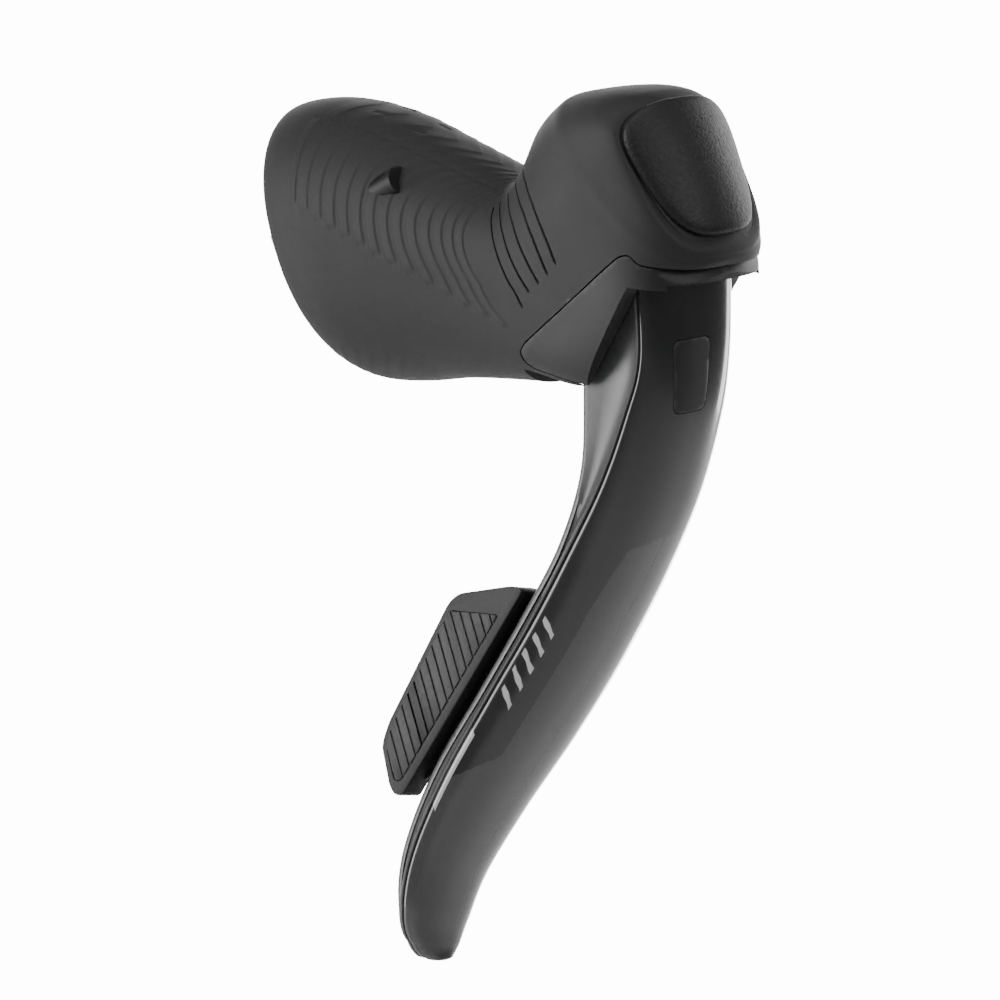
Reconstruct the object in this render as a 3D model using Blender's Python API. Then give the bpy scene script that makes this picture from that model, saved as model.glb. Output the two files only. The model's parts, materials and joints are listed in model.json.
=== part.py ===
"""Right-hand brake and shift lever for a drop handlebar: hydraulic brake, electronic shifting.

Frame: metres, +X forward, +Y towards the bicycle's middle, +Z up. The origin is the middle of the
handlebar clamp, on the axis of the bar. The tables and sizes are in millimetres; mesh_object turns
them into metres.
"""
import math

import bmesh
import bpy
from mathutils import Matrix, Vector

MM = 0.001
GAP = 0.3                    # clearance between pieces that touch
BAR_RADIUS = 12.0            # the handlebar the clamp is made for
BAR_TILT = math.radians(28)  # the bar leans back from upright
HOOD_WALL = 2.2
HOOD_GAP = 0.55              # between the hood's inside and the lever body
RIM_WALL = 1.1               # the hood's wall around the front pad
FACE_SWEEP = 4.0             # how far the horn's front curves back at its sides

# Hood stations from the bar to the pad: top x, z; bottom x, z; half width; squareness up and down; taper
HOOD = [
    (-8.0, 20.0, 11.5, -22.0, 17.0, 2.2, 2.2, 0.0),
    (-6.5, 23.3, 13.0, -26.5, 19.5, 2.2, 2.2, 0.0),
    (4.0, 25.0, 20.0, -28.5, 20.5, 2.2, 2.2, 0.0),
    (18.0, 24.0, 30.0, -27.5, 19.5, 2.2, 2.2, 0.0),
    (31.0, 21.0, 42.0, -25.0, 18.0, 2.2, 2.3, 0.0),
    (43.0, 18.0, 56.0, -23.0, 16.5, 2.2, 2.6, 0.0),
    (51.0, 16.0, 69.0, -21.5, 15.8, 2.2, 3.2, 0.0),
    (55.6, 16.0, 84.0, -21.0, 15.6, 2.3, 4.0, 0.0),
    (59.5, 21.0, 97.0, -15.5, 15.8, 2.4, 4.2, 0.0),
    (64.5, 28.5, 104.0, -7.0, 16.2, 2.6, 4.0, 0.0),
    (72.0, 33.6, 105.0, 1.5, 16.0, 2.8, 3.4, 0.05),
    (81.0, 35.5, 106.0, 6.5, 15.2, 3.0, 3.0, 0.09),
    (88.0, 35.6, 106.2, 8.5, 14.0, 3.2, 3.2, 0.14),
    (92.2, 34.3, 105.0, 11.0, 12.6, 3.4, 3.2, 0.20),
]
HOOD_END = len(HOOD) - 1

# Blade stations from the top to the tip: front centre x, y, z; half width; depth of the seam; whole depth
BLADE = [
    (98.0, 0.0, 1.5, 11.8, 3.0, 18.5),
    (99.2, 0.0, -12.0, 11.2, 4.0, 20.0),
    (98.4, -0.2, -24.0, 11.6, 6.0, 19.0),
    (94.3, -1.0, -40.0, 12.0, 7.5, 15.0),
    (87.8, -2.6, -56.0, 12.2, 8.5, 13.0),
    (80.0, -5.2, -72.0, 12.2, 8.5, 13.0),
    (71.3, -9.0, -88.0, 12.0, 8.0, 12.5),
    (62.3, -13.6, -104.0, 11.0, 7.0, 12.0),
    (56.0, -17.6, -118.0, 9.5, 6.0, 10.5),
    (53.7, -20.0, -128.0, 8.0, 4.8, 8.0),
    (53.3, -20.9, -133.0, 5.8, 3.2, 6.0),
    (53.5, -21.2, -135.3, 3.2, 2.0, 4.4),
]
BLADE_END = len(BLADE) - 1
SHELL_THICKNESS = 1.6
ARC_POWER = 2 / 2.4          # roundness of the blade's front

PIVOT = Vector((84.0, 0.0, 6.0))          # brake blade axis, along Y
TRUNNION = Vector((82.0, 0.0, -9.0))      # where the pushrod turns in the blade
BORE_Z = -8.2                             # master cylinder axis, along X
BORE_REAR, BORE_RADIUS = 25.5, 5.0
PUSHROD_LENGTH = 16.0
SLOT_HALF = 12.2                          # the blade swings between the body's two cheeks
LUG_HALF, LUG_INNER = 8.0, 4.0

# Side outlines, x and z
EAR = [(118.0, 1.5), (118.0, 3.9), (97.6, 6.2), (95.8, 7.9), (93.8, 7.4), (68.6, -12.6), (67.3, -14.2),
       (67.6, -15.8), (69.4, -17.1), (82.6, -18.4), (95.6, 2.2)]
HOOD_CUT = [(118.0, 4.3), (97.8, 6.6), (95.9, 8.4), (93.6, 7.9), (68.4, -12.2), (66.8, -14.2), (67.2, -16.3),
            (69.2, -17.5), (83.2, -18.9), (84.0, -45.0), (118.0, -45.0)]
NOSE_ROOM = [(82.7, -18.5), (95.7, 2.1), (118.0, 1.4), (118.0, -45.0), (82.7, -45.0)]
SLOT = [(118.0, 2.8), (118.0, -34.0), (63.5, -34.0), (67.3, -21.0), (72.0, -9.0), (75.5, 2.8)]
LUG_SLOT = [(76.5, 2.0), (76.8, 8.8), (79.6, 12.2), (92.0, 12.2), (94.0, 10.0), (94.0, 2.0)]

PAD_TOP, PAD_BOTTOM = Vector((91.7, 0.0, 34.5)), Vector((104.2, 0.0, 12.2))
HATCH_CENTRE = (38.0, -3.5)               # x, z of the battery bay
REACH_SIDE, REACH_Z = -2.0, -15.5         # the reach screw, set towards the outboard side
PADDLE_TOP, PADDLE_END = Vector((86.0, -3.3, -60.0)), Vector((62.6, -13.4, -103.5))
PADDLE_HINGE = (0.5, 8.9)                 # sideways and rearward from the paddle frame's axis
HOSE = Vector((13.0, 12.9, -8.0))         # rear end of the hose nut
HORN_BUTTON = (80.0, 22.0)
FUNCTION_BUTTON = (79.5, -9.0)
STATUS_LENS = (74.0, -11.5)
BOLT_SIDE, BOLT_UP = -13.6, -3.4          # clamp bolt, in the clamp's own directions
BODY_WAIST = 11.0                         # half width of the body beside the clamp

FINISHES = {                 # base colour, roughness, metallic
    "rubber": ((0.035, 0.035, 0.036), 0.75, 0.0),
    "pad_rubber": ((0.022, 0.022, 0.023), 0.65, 0.0),
    "body_plastic": ((0.030, 0.030, 0.031), 0.45, 0.0),
    "gloss_carbon": ((0.020, 0.020, 0.021), 0.15, 0.1),
    "frame_grey": ((0.090, 0.090, 0.092), 0.35, 0.3),
    "paddle_plastic": ((0.045, 0.045, 0.046), 0.50, 0.0),
    "grip_rubber": ((0.110, 0.110, 0.112), 0.60, 0.0),
    "steel": ((0.560, 0.560, 0.580), 0.30, 1.0),
    "dark_steel": ((0.120, 0.120, 0.125), 0.40, 0.9),
    "aluminium": ((0.700, 0.700, 0.720), 0.35, 1.0),
    "brass": ((0.720, 0.520, 0.220), 0.35, 1.0),
    "seal_rubber": ((0.015, 0.015, 0.015), 0.60, 0.0),
    "board_green": ((0.020, 0.160, 0.070), 0.45, 0.0),
    "lens_clear": ((0.750, 0.780, 0.800), 0.15, 0.0),
    "nylon": ((0.650, 0.640, 0.600), 0.50, 0.0),
}


# ---------------------------------------------------------------- tools

def clear_scene():
    for item in list(bpy.data.objects):
        bpy.data.objects.remove(item, do_unlink=True)


def material(finish):
    made = bpy.data.materials.get(finish)
    if made:
        return made
    colour, roughness, metallic = FINISHES[finish]
    made = bpy.data.materials.new(finish)
    made.use_nodes = True
    shader = made.node_tree.nodes["Principled BSDF"]
    shader.inputs["Base Color"].default_value = (*colour, 1.0)
    shader.inputs["Roughness"].default_value = roughness
    shader.inputs["Metallic"].default_value = metallic
    return made


def carrier(name, point):
    """An empty on a joint's axis, which the moving pieces hang from."""
    empty = bpy.data.objects.new(name, None)
    empty.location = Vector(point) * MM
    bpy.context.scene.collection.objects.link(empty)
    return empty


def mesh_object(name, points, faces, finish=None, parent=None):
    """One closed mesh from points in millimetres; with no finish it is a cutter."""
    mesh = bpy.data.meshes.new(name)
    mesh.from_pydata([Vector(p) * MM for p in points], [], faces)
    shaped = bmesh.new()
    shaped.from_mesh(mesh)
    bmesh.ops.recalc_face_normals(shaped, faces=shaped.faces)
    shaped.to_mesh(mesh)
    shaped.free()
    made = bpy.data.objects.new(name, mesh)
    bpy.context.scene.collection.objects.link(made)
    if finish:
        mesh.materials.append(material(finish))
        mesh.shade_smooth()
        mesh.set_sharp_from_angle(angle=math.radians(32))
    else:
        made.hide_render = True
        made.display_type = "WIRE"
    if parent:
        made.parent = parent
        made.matrix_parent_inverse = Matrix.Translation(-parent.location)
    return made


def end_strips(start, size):
    """Faces across a ring, each from an upper edge to the lower edge at the same side."""
    faces = []
    for k in range(size // 2):
        strip = (start + k, start + k + 1, start + (size - k - 1), start + (size - k) % size)
        faces.append(tuple(dict.fromkeys(strip)))
    return faces


def loft(name, rings, finish=None, parent=None, looped=False, striped=False):
    """A skin over rings of equal length, with flat or striped end caps, or closed on itself when looped."""
    count, size = len(rings), len(rings[0])
    points = [p for ring in rings for p in ring]
    faces = []
    for i in range(count if looped else count - 1):
        k = (i + 1) % count
        faces += [(i * size + j, i * size + (j + 1) % size, k * size + (j + 1) % size, k * size + j)
                  for j in range(size)]
    if striped:
        faces += end_strips(0, size) + end_strips((count - 1) * size, size)
    elif not looped:
        faces.append(tuple(range(size)))
        faces.append(tuple(reversed(range((count - 1) * size, count * size))))
    return mesh_object(name, points, faces, finish, parent)


def axes_for(direction):
    """Two directions square to the given one."""
    direction = Vector(direction).normalized()
    helper = Vector((0, 0, 1)) if abs(direction.z) < 0.9 else Vector((1, 0, 0))
    first = direction.cross(helper).normalized()
    return first, direction.cross(first).normalized()


def circle(centre, first, second, radius, sides):
    centre = Vector(centre)
    steps = [2 * math.pi * (i + 0.5) / sides for i in range(sides)]
    return [centre + radius * (math.cos(a) * first + math.sin(a) * second) for a in steps]


def turned(name, start, direction, profile, finish=None, parent=None, sides=12, bored=False):
    """A round piece: profile is (distance along, radius) pairs; a bored one's profile closes on itself."""
    first, second = axes_for(direction)
    start, direction = Vector(start), Vector(direction).normalized()
    rings = [circle(start + direction * along, first, second, radius, sides) for along, radius in profile]
    return loft(name, rings, finish, parent, looped=bored)


def ring(name, start, direction, length, inner, outer, finish, parent=None, sides=20):
    profile = [(0, inner), (0, outer), (length, outer), (length, inner)]
    return turned(name, start, direction, profile, finish, parent, sides, bored=True)


def rod(name, start, end, radius, finish=None, parent=None, sides=12):
    start, end = Vector(start), Vector(end)
    profile = [(0, radius), ((end - start).length, radius)]
    return turned(name, start, end - start, profile, finish, parent, sides)


def upright(u, v, sweep):
    """An outline in the XZ plane, swept along Y."""
    return Vector((u, sweep, v))


def prism(name, outline, low, high, finish=None, parent=None, place=upright):
    """An outline swept from low to high; place puts its (u, v, sweep) into the row frame."""
    rings = [[place(u, v, sweep) for u, v in outline] for sweep in (low, high)]
    return loft(name, rings, finish, parent)


def block(name, low, high, finish=None, parent=None):
    (x0, y0, z0), (x1, y1, z1) = low, high
    outline = [(x0, z0), (x1, z0), (x1, z1), (x0, z1)]
    return prism(name, outline, y0, y1, finish, parent)


def tube_along(name, route, radius, finish, parent=None, sides=5):
    """A round wire along a list of points, its sections kept from twisting."""
    route = [Vector(p) for p in route]
    rings, side = [], axes_for(route[1] - route[0])[0]
    for i, point in enumerate(route):
        ahead = (route[min(i + 1, len(route) - 1)] - route[max(i - 1, 0)]).normalized()
        side = (side - ahead * side.dot(ahead)).normalized()
        rings.append(circle(point, side, ahead.cross(side), radius, sides))
    return loft(name, rings, finish, parent)


def coil_route(start, direction, radius, length, turns, steps=8):
    first, second = axes_for(direction)
    start, direction = Vector(start), Vector(direction).normalized()
    total, step = int(turns * steps), 2 * math.pi / steps
    return [start + direction * (length * i / total)
            + radius * (math.cos(step * i) * first + math.sin(step * i) * second)
            for i in range(total + 1)]


def boolean(target, operation, *tools):
    for tool in tools:
        modifier = target.modifiers.new(tool.name, "BOOLEAN")
        modifier.operation = operation
        modifier.object = tool
        modifier.solver = "EXACT"
        tool.hide_render = True
        tool.display_type = "WIRE"


def cut(target, *tools):
    boolean(target, "DIFFERENCE", *tools)


def join(target, *tools):
    boolean(target, "UNION", *tools)


def screw(name, head_top, direction, head, shank, finish, parent=None):
    """A socket screw: head and shank are (radius, length); direction runs from head to tip."""
    (head_r, head_l), (shank_r, shank_l) = head, shank
    profile = [(0, head_r), (head_l, head_r), (head_l, shank_r), (head_l + shank_l, shank_r)]
    made = turned(name, head_top, direction, profile, finish, parent)
    start = Vector(head_top) - Vector(direction).normalized()
    hexagon = [(0, head_r * 0.45), (1 + head_l * 0.6, head_r * 0.45)]
    socket = turned(name + "_socket", start, direction, hexagon, None, parent, sides=6)
    cut(made, socket)
    return made


def spline(table, t):
    """A smooth row between the rows of a table."""
    i = min(max(int(math.floor(t)), 0), len(table) - 2)
    f = t - i
    rows = [table[max(i - 1, 0)], table[i], table[i + 1], table[min(i + 2, len(table) - 1)]]
    return [b + 0.5 * f * ((c - a) + f * ((2 * a - 5 * b + 4 * c - d) + f * (3 * b - a - 3 * c + d)))
            for a, b, c, d in zip(*rows)]


# ---------------------------------------------------------------- shared shapes

def face_sweep(t, side):
    """How far a point of the horn's front lies back, growing towards the face and its sides."""
    return FACE_SWEEP * min(max((t - 10.5) / 2.5, 0.0), 1.0) ** 2 * min(abs(side) / 14, 1.2) ** 2


def hood_ring(t, inset, sides=28, shift=0.0, half_limit=99.0):
    """A hood section, pulled in by inset and moved out of the pad's plane by shift."""
    top_x, top_z, low_x, low_z, half, square_up, square_down, taper = spline(HOOD, t)
    top, low = Vector((top_x, 0, top_z)), Vector((low_x, 0, low_z))
    along = (low - top).normalized()
    top, low = top + along * inset, low - along * inset
    half = min(half - inset, half_limit)
    centre = (top + low) / 2
    points = []
    for k in range(sides):
        angle = 2 * math.pi * k / sides
        c, s = math.cos(angle), math.sin(angle)
        power = 2 / (square_up if s >= 0 else square_down)
        rise = abs(s) ** power
        widen = 1 + taper * (rise if s >= 0 else -rise)
        side = half * math.copysign(abs(c) ** power, c) * widen
        end = top if s >= 0 else low
        swept = shift - face_sweep(t, side)
        points.append(centre + (end - centre) * rise + Vector((0, side, 0)) + PAD_NORMAL * swept)
    return points


PAD_DOWN = (PAD_BOTTOM - PAD_TOP).normalized()
PAD_CENTRE = (PAD_BOTTOM + PAD_TOP) / 2
PAD_NORMAL = Vector((-PAD_DOWN.z, 0, PAD_DOWN.x))


def pad_point(side, up, out):
    return PAD_CENTRE + Vector((0, side, 0)) - PAD_DOWN * up + PAD_NORMAL * out


def face_plug(name, inset, low, high, finish=None, sides=24):
    """A plug with the outline of the horn's front opening."""
    rings = [hood_ring(HOOD_END, inset, sides, shift) for shift in (low, high)]
    return loft(name, rings, finish, striped=True)


def blade_frame_at(t):
    """Centre, sideways and forward directions, and the sizes of the blade at t."""
    row = spline(BLADE, t)
    after, before = spline(BLADE, min(t + 0.05, BLADE_END)), spline(BLADE, max(t - 0.05, 0))
    along = (Vector(after[:3]) - Vector(before[:3])).normalized()
    side = along.cross(Vector((1, 0, 0))).normalized()
    side = side if side.y > 0 else -side
    forward = side.cross(along).normalized()
    forward = forward if forward.x > 0 else -forward
    return Vector(row[:3]), side, forward, row[3:]


def arc(half, front, seam, count):
    """Front curve of the blade: (sideways, depth) from one edge to the other."""
    angles = [math.pi * k / (count - 1) for k in range(count)]
    return [(-half * math.copysign(abs(math.cos(a)) ** ARC_POWER, math.cos(a)),
             front + (seam - front) * (1 - math.sin(a) ** ARC_POWER)) for a in angles]


def blade_rings(section, count):
    """Rings of a (half, seam, depth) section along the whole blade."""
    rings = []
    for i in range(count):
        centre, side, forward, sizes = blade_frame_at(BLADE_END * i / (count - 1))
        rings.append([centre + side * a - forward * f for a, f in section(*sizes)])
    return rings


def shell_section(half, seam, _depth):
    inner = arc(half - SHELL_THICKNESS, SHELL_THICKNESS, seam, 9)
    return arc(half, 0, seam, 11) + list(reversed(inner))


def frame_section(half, seam, depth):
    edge = seam + GAP
    flank = half * 0.97
    nose = arc(half - SHELL_THICKNESS - GAP, SHELL_THICKNESS + GAP, edge, 9)
    return ([(-half, edge)] + nose + [(half, edge), (flank, depth - 1.2), (flank - 1.2, depth),
                                      (1.2 - flank, depth), (-flank, depth - 1.2)])


PADDLE_ALONG = (PADDLE_END - PADDLE_TOP).normalized()
PADDLE_SIDE = -PADDLE_ALONG.cross(Vector((1, 0, 0))).normalized()
PADDLE_BACK = PADDLE_SIDE.cross(PADDLE_ALONG).normalized()
PADDLE_CENTRE = (PADDLE_TOP + PADDLE_END) / 2


def paddle_point(along, side, back):
    """Row-frame point from distances along the blade, towards the bike, and rearward."""
    return PADDLE_CENTRE + PADDLE_ALONG * along + PADDLE_SIDE * side + PADDLE_BACK * back


def across_paddle(u, v, sweep):
    """An outline of (sideways, rearward) points, swept along the blade."""
    return paddle_point(sweep, u, v)


def beside_paddle(u, v, sweep):
    """An outline of (along the blade, rearward) points, swept sideways."""
    return paddle_point(u, sweep, v)


def hinge_line(start, end):
    """Two points on the paddle's hinge."""
    return paddle_point(start, *PADDLE_HINGE), paddle_point(end, *PADDLE_HINGE)


def facing_front(u, v, sweep):
    """An outline of (sideways, height) points, swept forward."""
    return Vector((sweep, u, v))


def bar_point(forward, side, up):
    """Row-frame point from the clamp's own directions: up runs along the bar."""
    c, s = math.cos(BAR_TILT), math.sin(BAR_TILT)
    return Vector((forward * c - up * s, side, forward * s + up * c))


def arc_points(centre, radius, start, end, count):
    """Outline points on an arc, in degrees."""
    steps = [math.radians(start + (end - start) * i / (count - 1)) for i in range(count)]
    return [(centre[0] + radius * math.cos(a), centre[1] + radius * math.sin(a)) for a in steps]


def rounded(centre, half_u, half_v, radius, steps=4):
    """A rounded rectangle's outline."""
    outline = []
    for sign_u, sign_v, start in ((1, 1, 0), (-1, 1, 90), (-1, -1, 180), (1, -1, 270)):
        corner = (centre[0] + sign_u * (half_u - radius), centre[1] + sign_v * (half_v - radius))
        outline += arc_points(corner, radius, start, start + 90, steps)
    return outline


# ---------------------------------------------------------------- hood and pad

def build_hood():
    steps = 25
    ways = [i / (steps - 1) for i in range(steps)]
    walls = [HOOD_WALL + (RIM_WALL - HOOD_WALL) * max(0.0, (way - 0.85) / 0.15) for way in ways]
    places = [HOOD_END * way for way in ways]
    outer = [hood_ring(t, 0, 24) for t in places]
    inner = [hood_ring(t, wall, 24) for t, wall in zip(places, walls)]
    hood = loft("hood_cover", outer + inner[::-1], "rubber", looped=True)
    nose_cut = prism("hood_nose_cut", HOOD_CUT, -30, 30)
    underside = block("hood_underside_cut", (66.0, -12.6, -45), (118, 12.6, -11))
    button_x, button_z = HORN_BUTTON
    button_hole = rod("hood_button_hole", (button_x, 8, button_z), (button_x, 30, button_z), 4.2)
    cut(hood, nose_cut, underside, button_hole)


def build_pad():
    inset = RIM_WALL + GAP
    rings = [hood_ring(HOOD_END, inset, 24, -2.4), hood_ring(HOOD_END, inset, 24, 0.1),
             hood_ring(HOOD_END, inset + 0.5, 24, 0.6), hood_ring(HOOD_END, inset + 2.0, 24, 1.0),
             hood_ring(HOOD_END, inset + 5.0, 24, 1.3)]
    loft("horn_pad", rings, "pad_rubber", striped=True)


# ---------------------------------------------------------------- lever body

def body_core():
    steps = 18
    rings = []
    for i in range(steps):
        t = 0.6 + (HOOD_END - 0.6) * i / (steps - 1)
        limit = BODY_WAIST + max(0.0, t - 2.6) * 4.0
        inset = (RIM_WALL if t > HOOD_END - 0.8 else HOOD_WALL) + HOOD_GAP
        rings.append(hood_ring(t, inset, 20, half_limit=limit))
    return loft("lever_body", rings, "body_plastic", striped=True)


def build_body():
    body = body_core()
    cheeks = loft("cheek_shape", [hood_ring(5.6 + 5.2 * i / 9, 0.1, 28) for i in range(10)])
    boolean(cheeks, "INTERSECT", prism("cheek_outline", EAR, -20, 20))
    hose_boss = rod("hose_boss", (19.8, HOSE.y, HOSE.z), (25.2, HOSE.y, HOSE.z), 3.5)
    hose_web = block("hose_web", (19.8, 8.0, HOSE.z - 3.4), (25.2, HOSE.y, HOSE.z + 3.4))
    boss = [(-9, -4), (-9, 4), (-15.9, 3), (-15.9, -3)]
    bolt_boss = loft("bolt_boss", [[bar_point(f, s, BOLT_UP + u) for s, u in boss] for f in (17.4, 20.2)])
    join(body, cheeks, hose_boss, hose_web, bolt_boss)
    cut(body, *body_bar_cuts(), *body_blade_cuts(), *body_fluid_cuts(), *body_bay_cuts(), *body_button_cuts())


def body_bar_cuts():
    saddle = rod("saddle_cut", bar_point(0, 0, -60), bar_point(0, 0, 60), BAR_RADIUS + 0.1, sides=40)
    corners = ((-30, -60), (30, -60), (30, 60), (-30, 60))
    behind = loft("behind_bar_cut", [[bar_point(f, s, u) for s, u in corners] for f in (-40, 4.5)])
    bolt_hole = rod("bolt_hole", *bolt_line(15, 30), 1.3)
    bolt_room = rod("bolt_room", *bolt_line(20.2, 36), 2.8)
    anchor_hole = rod("anchor_hole", bar_point(13.0, 6, BOLT_UP), bar_point(13.0, 14, BOLT_UP), 1.7)
    return saddle, behind, bolt_hole, bolt_room, anchor_hole


def body_blade_cuts():
    slot = prism("blade_slot", SLOT, -SLOT_HALF, SLOT_HALF)
    nose_room = prism("nose_room", NOSE_ROOM, -30, 30)
    lug_slot = prism("lug_slot", LUG_SLOT, -LUG_HALF - 0.6, LUG_HALF + 0.6)
    pin_hole = rod("pin_hole", (PIVOT.x, -30, PIVOT.z), (PIVOT.x, 30, PIVOT.z), 2.6, sides=20)
    lock_hole = rod("lock_hole", (PIVOT.x, 10.8, PIVOT.z), (PIVOT.x, 10.8, 30), 1.7)
    lead_hole = rod("lead_hole", (91.0, 6.3, 8), (91.0, 6.3, 12.4), 2.0)
    return slot, nose_room, lug_slot, pin_hole, lock_hole, lead_hole


def body_fluid_cuts():
    bore = rod("bore_cut", (BORE_REAR, 0, BORE_Z), (80, 0, BORE_Z), BORE_RADIUS, sides=24)
    stop_groove = rod("stop_groove", (70.3, 0, BORE_Z), (71.8, 0, BORE_Z), 5.9, sides=24)
    hose_seat = rod("hose_seat", (15, HOSE.y, HOSE.z), (24.4, HOSE.y, HOSE.z), 2.75)
    nut_room = rod("nut_room", (4, HOSE.y, HOSE.z), (19.8, HOSE.y, HOSE.z), 3.8)
    hose_passage = rod("hose_passage", (23.8, HOSE.y, HOSE.z), (27.0, 2.5, BORE_Z), 1.1, sides=8)
    front_cut = face_plug("front_cut", -14, -3.0, 16, sides=48)
    cap_recess = face_plug("cap_recess", 3.7, -5.4, 0)
    pocket = face_plug("reservoir_cut", 6.6, -15.5, 0)
    bleed_bore = rod("bleed_bore", (80, 0, 22.5), (80, 0, 40), 2.7)
    bleed_head = rod("bleed_head_seat", (80, 0, 30.2), (80, 0, 40), 3.7)
    bleed_drill = rod("bleed_drill", (80, 0, 23.5), (88, 0, 20.5), 1.1, sides=8)
    level_drill = rod("level_drill", (86, 0, 16.5), (67, 0, 15.2), 1.1, sides=8)
    port_drill = rod("port_drill", (68, 0, 16), (62, 0, BORE_Z + 3), 1.1, sides=8)
    return (bore, stop_groove, hose_seat, nut_room, hose_passage, front_cut, cap_recess, pocket, bleed_bore,
            bleed_head, bleed_drill, level_drill, port_drill)


def body_bay_cuts():
    bay = prism("battery_bay", rounded(HATCH_CENTRE, 10.5, 10.5, 8.5), 6.0, 25)
    ledge = prism("hatch_ledge", rounded(HATCH_CENTRE, 12.1, 12.1, 4.3), 10.7, 25)
    holes = [rod("hatch_screw_hole", (x, 8.0, z), (x, 12, z), 1.0, sides=10) for x, z in hatch_corners()]
    return bay, ledge, *holes


def body_button_cuts():
    seats = (("horn_button_seat", HORN_BUTTON, 11.2, 4.2), ("function_seat", FUNCTION_BUTTON, 12.9, 2.4),
             ("lens_seat", STATUS_LENS, 13.2, 1.3))
    return [rod(name, (x, floor, z), (x, 30, z), radius) for name, (x, z), floor, radius in seats]


# ---------------------------------------------------------------- handlebar clamp

def bolt_line(start, end):
    """Two points on the clamp bolt's axis."""
    return bar_point(start, BOLT_SIDE, BOLT_UP), bar_point(end, BOLT_SIDE, BOLT_UP)


def build_clamp():
    inner, outer, leg, lug_end = BAR_RADIUS + 0.3, BAR_RADIUS + 1.6, 9.0, 15.6
    strap = arc_points((0, 0), outer, 90, 270, 17) + [(lug_end, -outer), (lug_end, -inner), (0, -inner)]
    strap += arc_points((0, 0), inner, 270, 90, 17)[1:] + [(lug_end, inner), (lug_end, outer)]
    band = prism("clamp_band", strap, -8, 1.2, "steel", place=bar_point)
    for name, side, reach in (("outer_lug", -1, 15.7), ("inner_lug", 1, 15.2)):
        root, front = side * (inner + 0.4), lug_end - 0.2
        outline = [(leg, root), (front, root), (front, side * reach), (leg, side * reach)]
        join(band, prism(name, outline, -7.7, 0.9, place=bar_point))
    nut_way = rod("nut_way", bar_point(12.2, BOLT_SIDE, -12), bar_point(12.2, BOLT_SIDE, 12), 1.7)
    thread_way = rod("thread_way", *bolt_line(6.5, 20), 1.3)
    anchor_way = rod("anchor_way", bar_point(13.0, 10, BOLT_UP), bar_point(13.0, 20, BOLT_UP), 1.7)
    anchor_head = rod("anchor_head", bar_point(13.0, 14.1, BOLT_UP), bar_point(13.0, 20, BOLT_UP), 2.5)
    cut(band, nut_way, thread_way, anchor_way, anchor_head)

    nut_ends = [bar_point(12.2, BOLT_SIDE, up) for up in (-7.4, 0.6)]
    nut = rod("clamp_nut", *nut_ends, 1.4, "dark_steel")
    cut(nut, rod("nut_thread", *bolt_line(8, 18), 1.15))
    backward = bar_point(-1, 0, 0)
    screw("clamp_bolt", bar_point(23.9, BOLT_SIDE, BOLT_UP), backward, (2.0, 2.6), (0.85, 13.4), "dark_steel")
    ring("clamp_washer", bar_point(21.05, BOLT_SIDE, BOLT_UP), backward, 0.6, 1.1, 2.3, "steel")
    head_top = bar_point(13.0, 15.3, BOLT_UP)
    screw("clamp_anchor_screw", head_top, (0, -1, 0), (2.1, 0.9), (1.35, 7.6), "dark_steel")


# ---------------------------------------------------------------- hydraulics

def build_reservoir():
    cap = face_plug("reservoir_cap", 4.0, -5.1, -3.3, "body_plastic")
    for name, up in (("cap_screw_upper", 7.6), ("cap_screw_lower", -7.6)):
        cut(cap, rod(name + "_way", pad_point(0, up, -8), pad_point(0, up, 0), 1.1, sides=10))
        screw(name, pad_point(0, up, -2.75), -PAD_NORMAL, (1.0, 0.01), (0.8, 2.0), "steel")
    bladder = [hood_ring(HOOD_END, 7.0, 20, -13.5), hood_ring(HOOD_END, 7.0, 20, -5.5),
               hood_ring(HOOD_END, 8.0, 20, -5.5), hood_ring(HOOD_END, 8.0, 20, -12.5)]
    loft("reservoir_bladder", bladder, "seal_rubber", striped=True)
    screw("bleed_screw", (80, 0, 32.4), (0, 0, -1), (3.3, 1.8), (2.35, 6.0), "aluminium")


def build_master(piston_axis):
    front = 68.2
    profile = [(0, 4.6), (3.0, 4.6), (3.0, 3.4), (5.0, 3.4), (5.0, 4.6), (13.5, 4.6), (13.5, 3.4),
               (15.5, 3.4), (15.5, 4.6), (22.0, 4.6)]
    start = (front - 22.0, 0, BORE_Z)
    piston = turned("master_piston", start, (1, 0, 0), profile, "aluminium", piston_axis)
    cone = [(0, 3.6), (1, 3.6), (5.8, 2.6)]
    socket = turned("piston_socket", (front + 1, 0, BORE_Z), (-1, 0, 0), cone, None, piston_axis)
    cut(piston, socket)
    for name, along in (("piston_seal_front", 13.8), ("piston_seal_rear", 3.3)):
        ring(name, (start[0] + along, 0, BORE_Z), (1, 0, 0), 1.4, 3.7, 4.8, "seal_rubber", piston_axis)
    ring("piston_stop_ring", (70.6, 0, BORE_Z), (1, 0, 0), 0.9, 3.4, 5.6, "steel")
    coil = coil_route((BORE_REAR + 1.0, 0, BORE_Z), (1, 0, 0), 3.4, 18.6, 6)
    tube_along("piston_spring", coil, 0.5, "steel")


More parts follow.
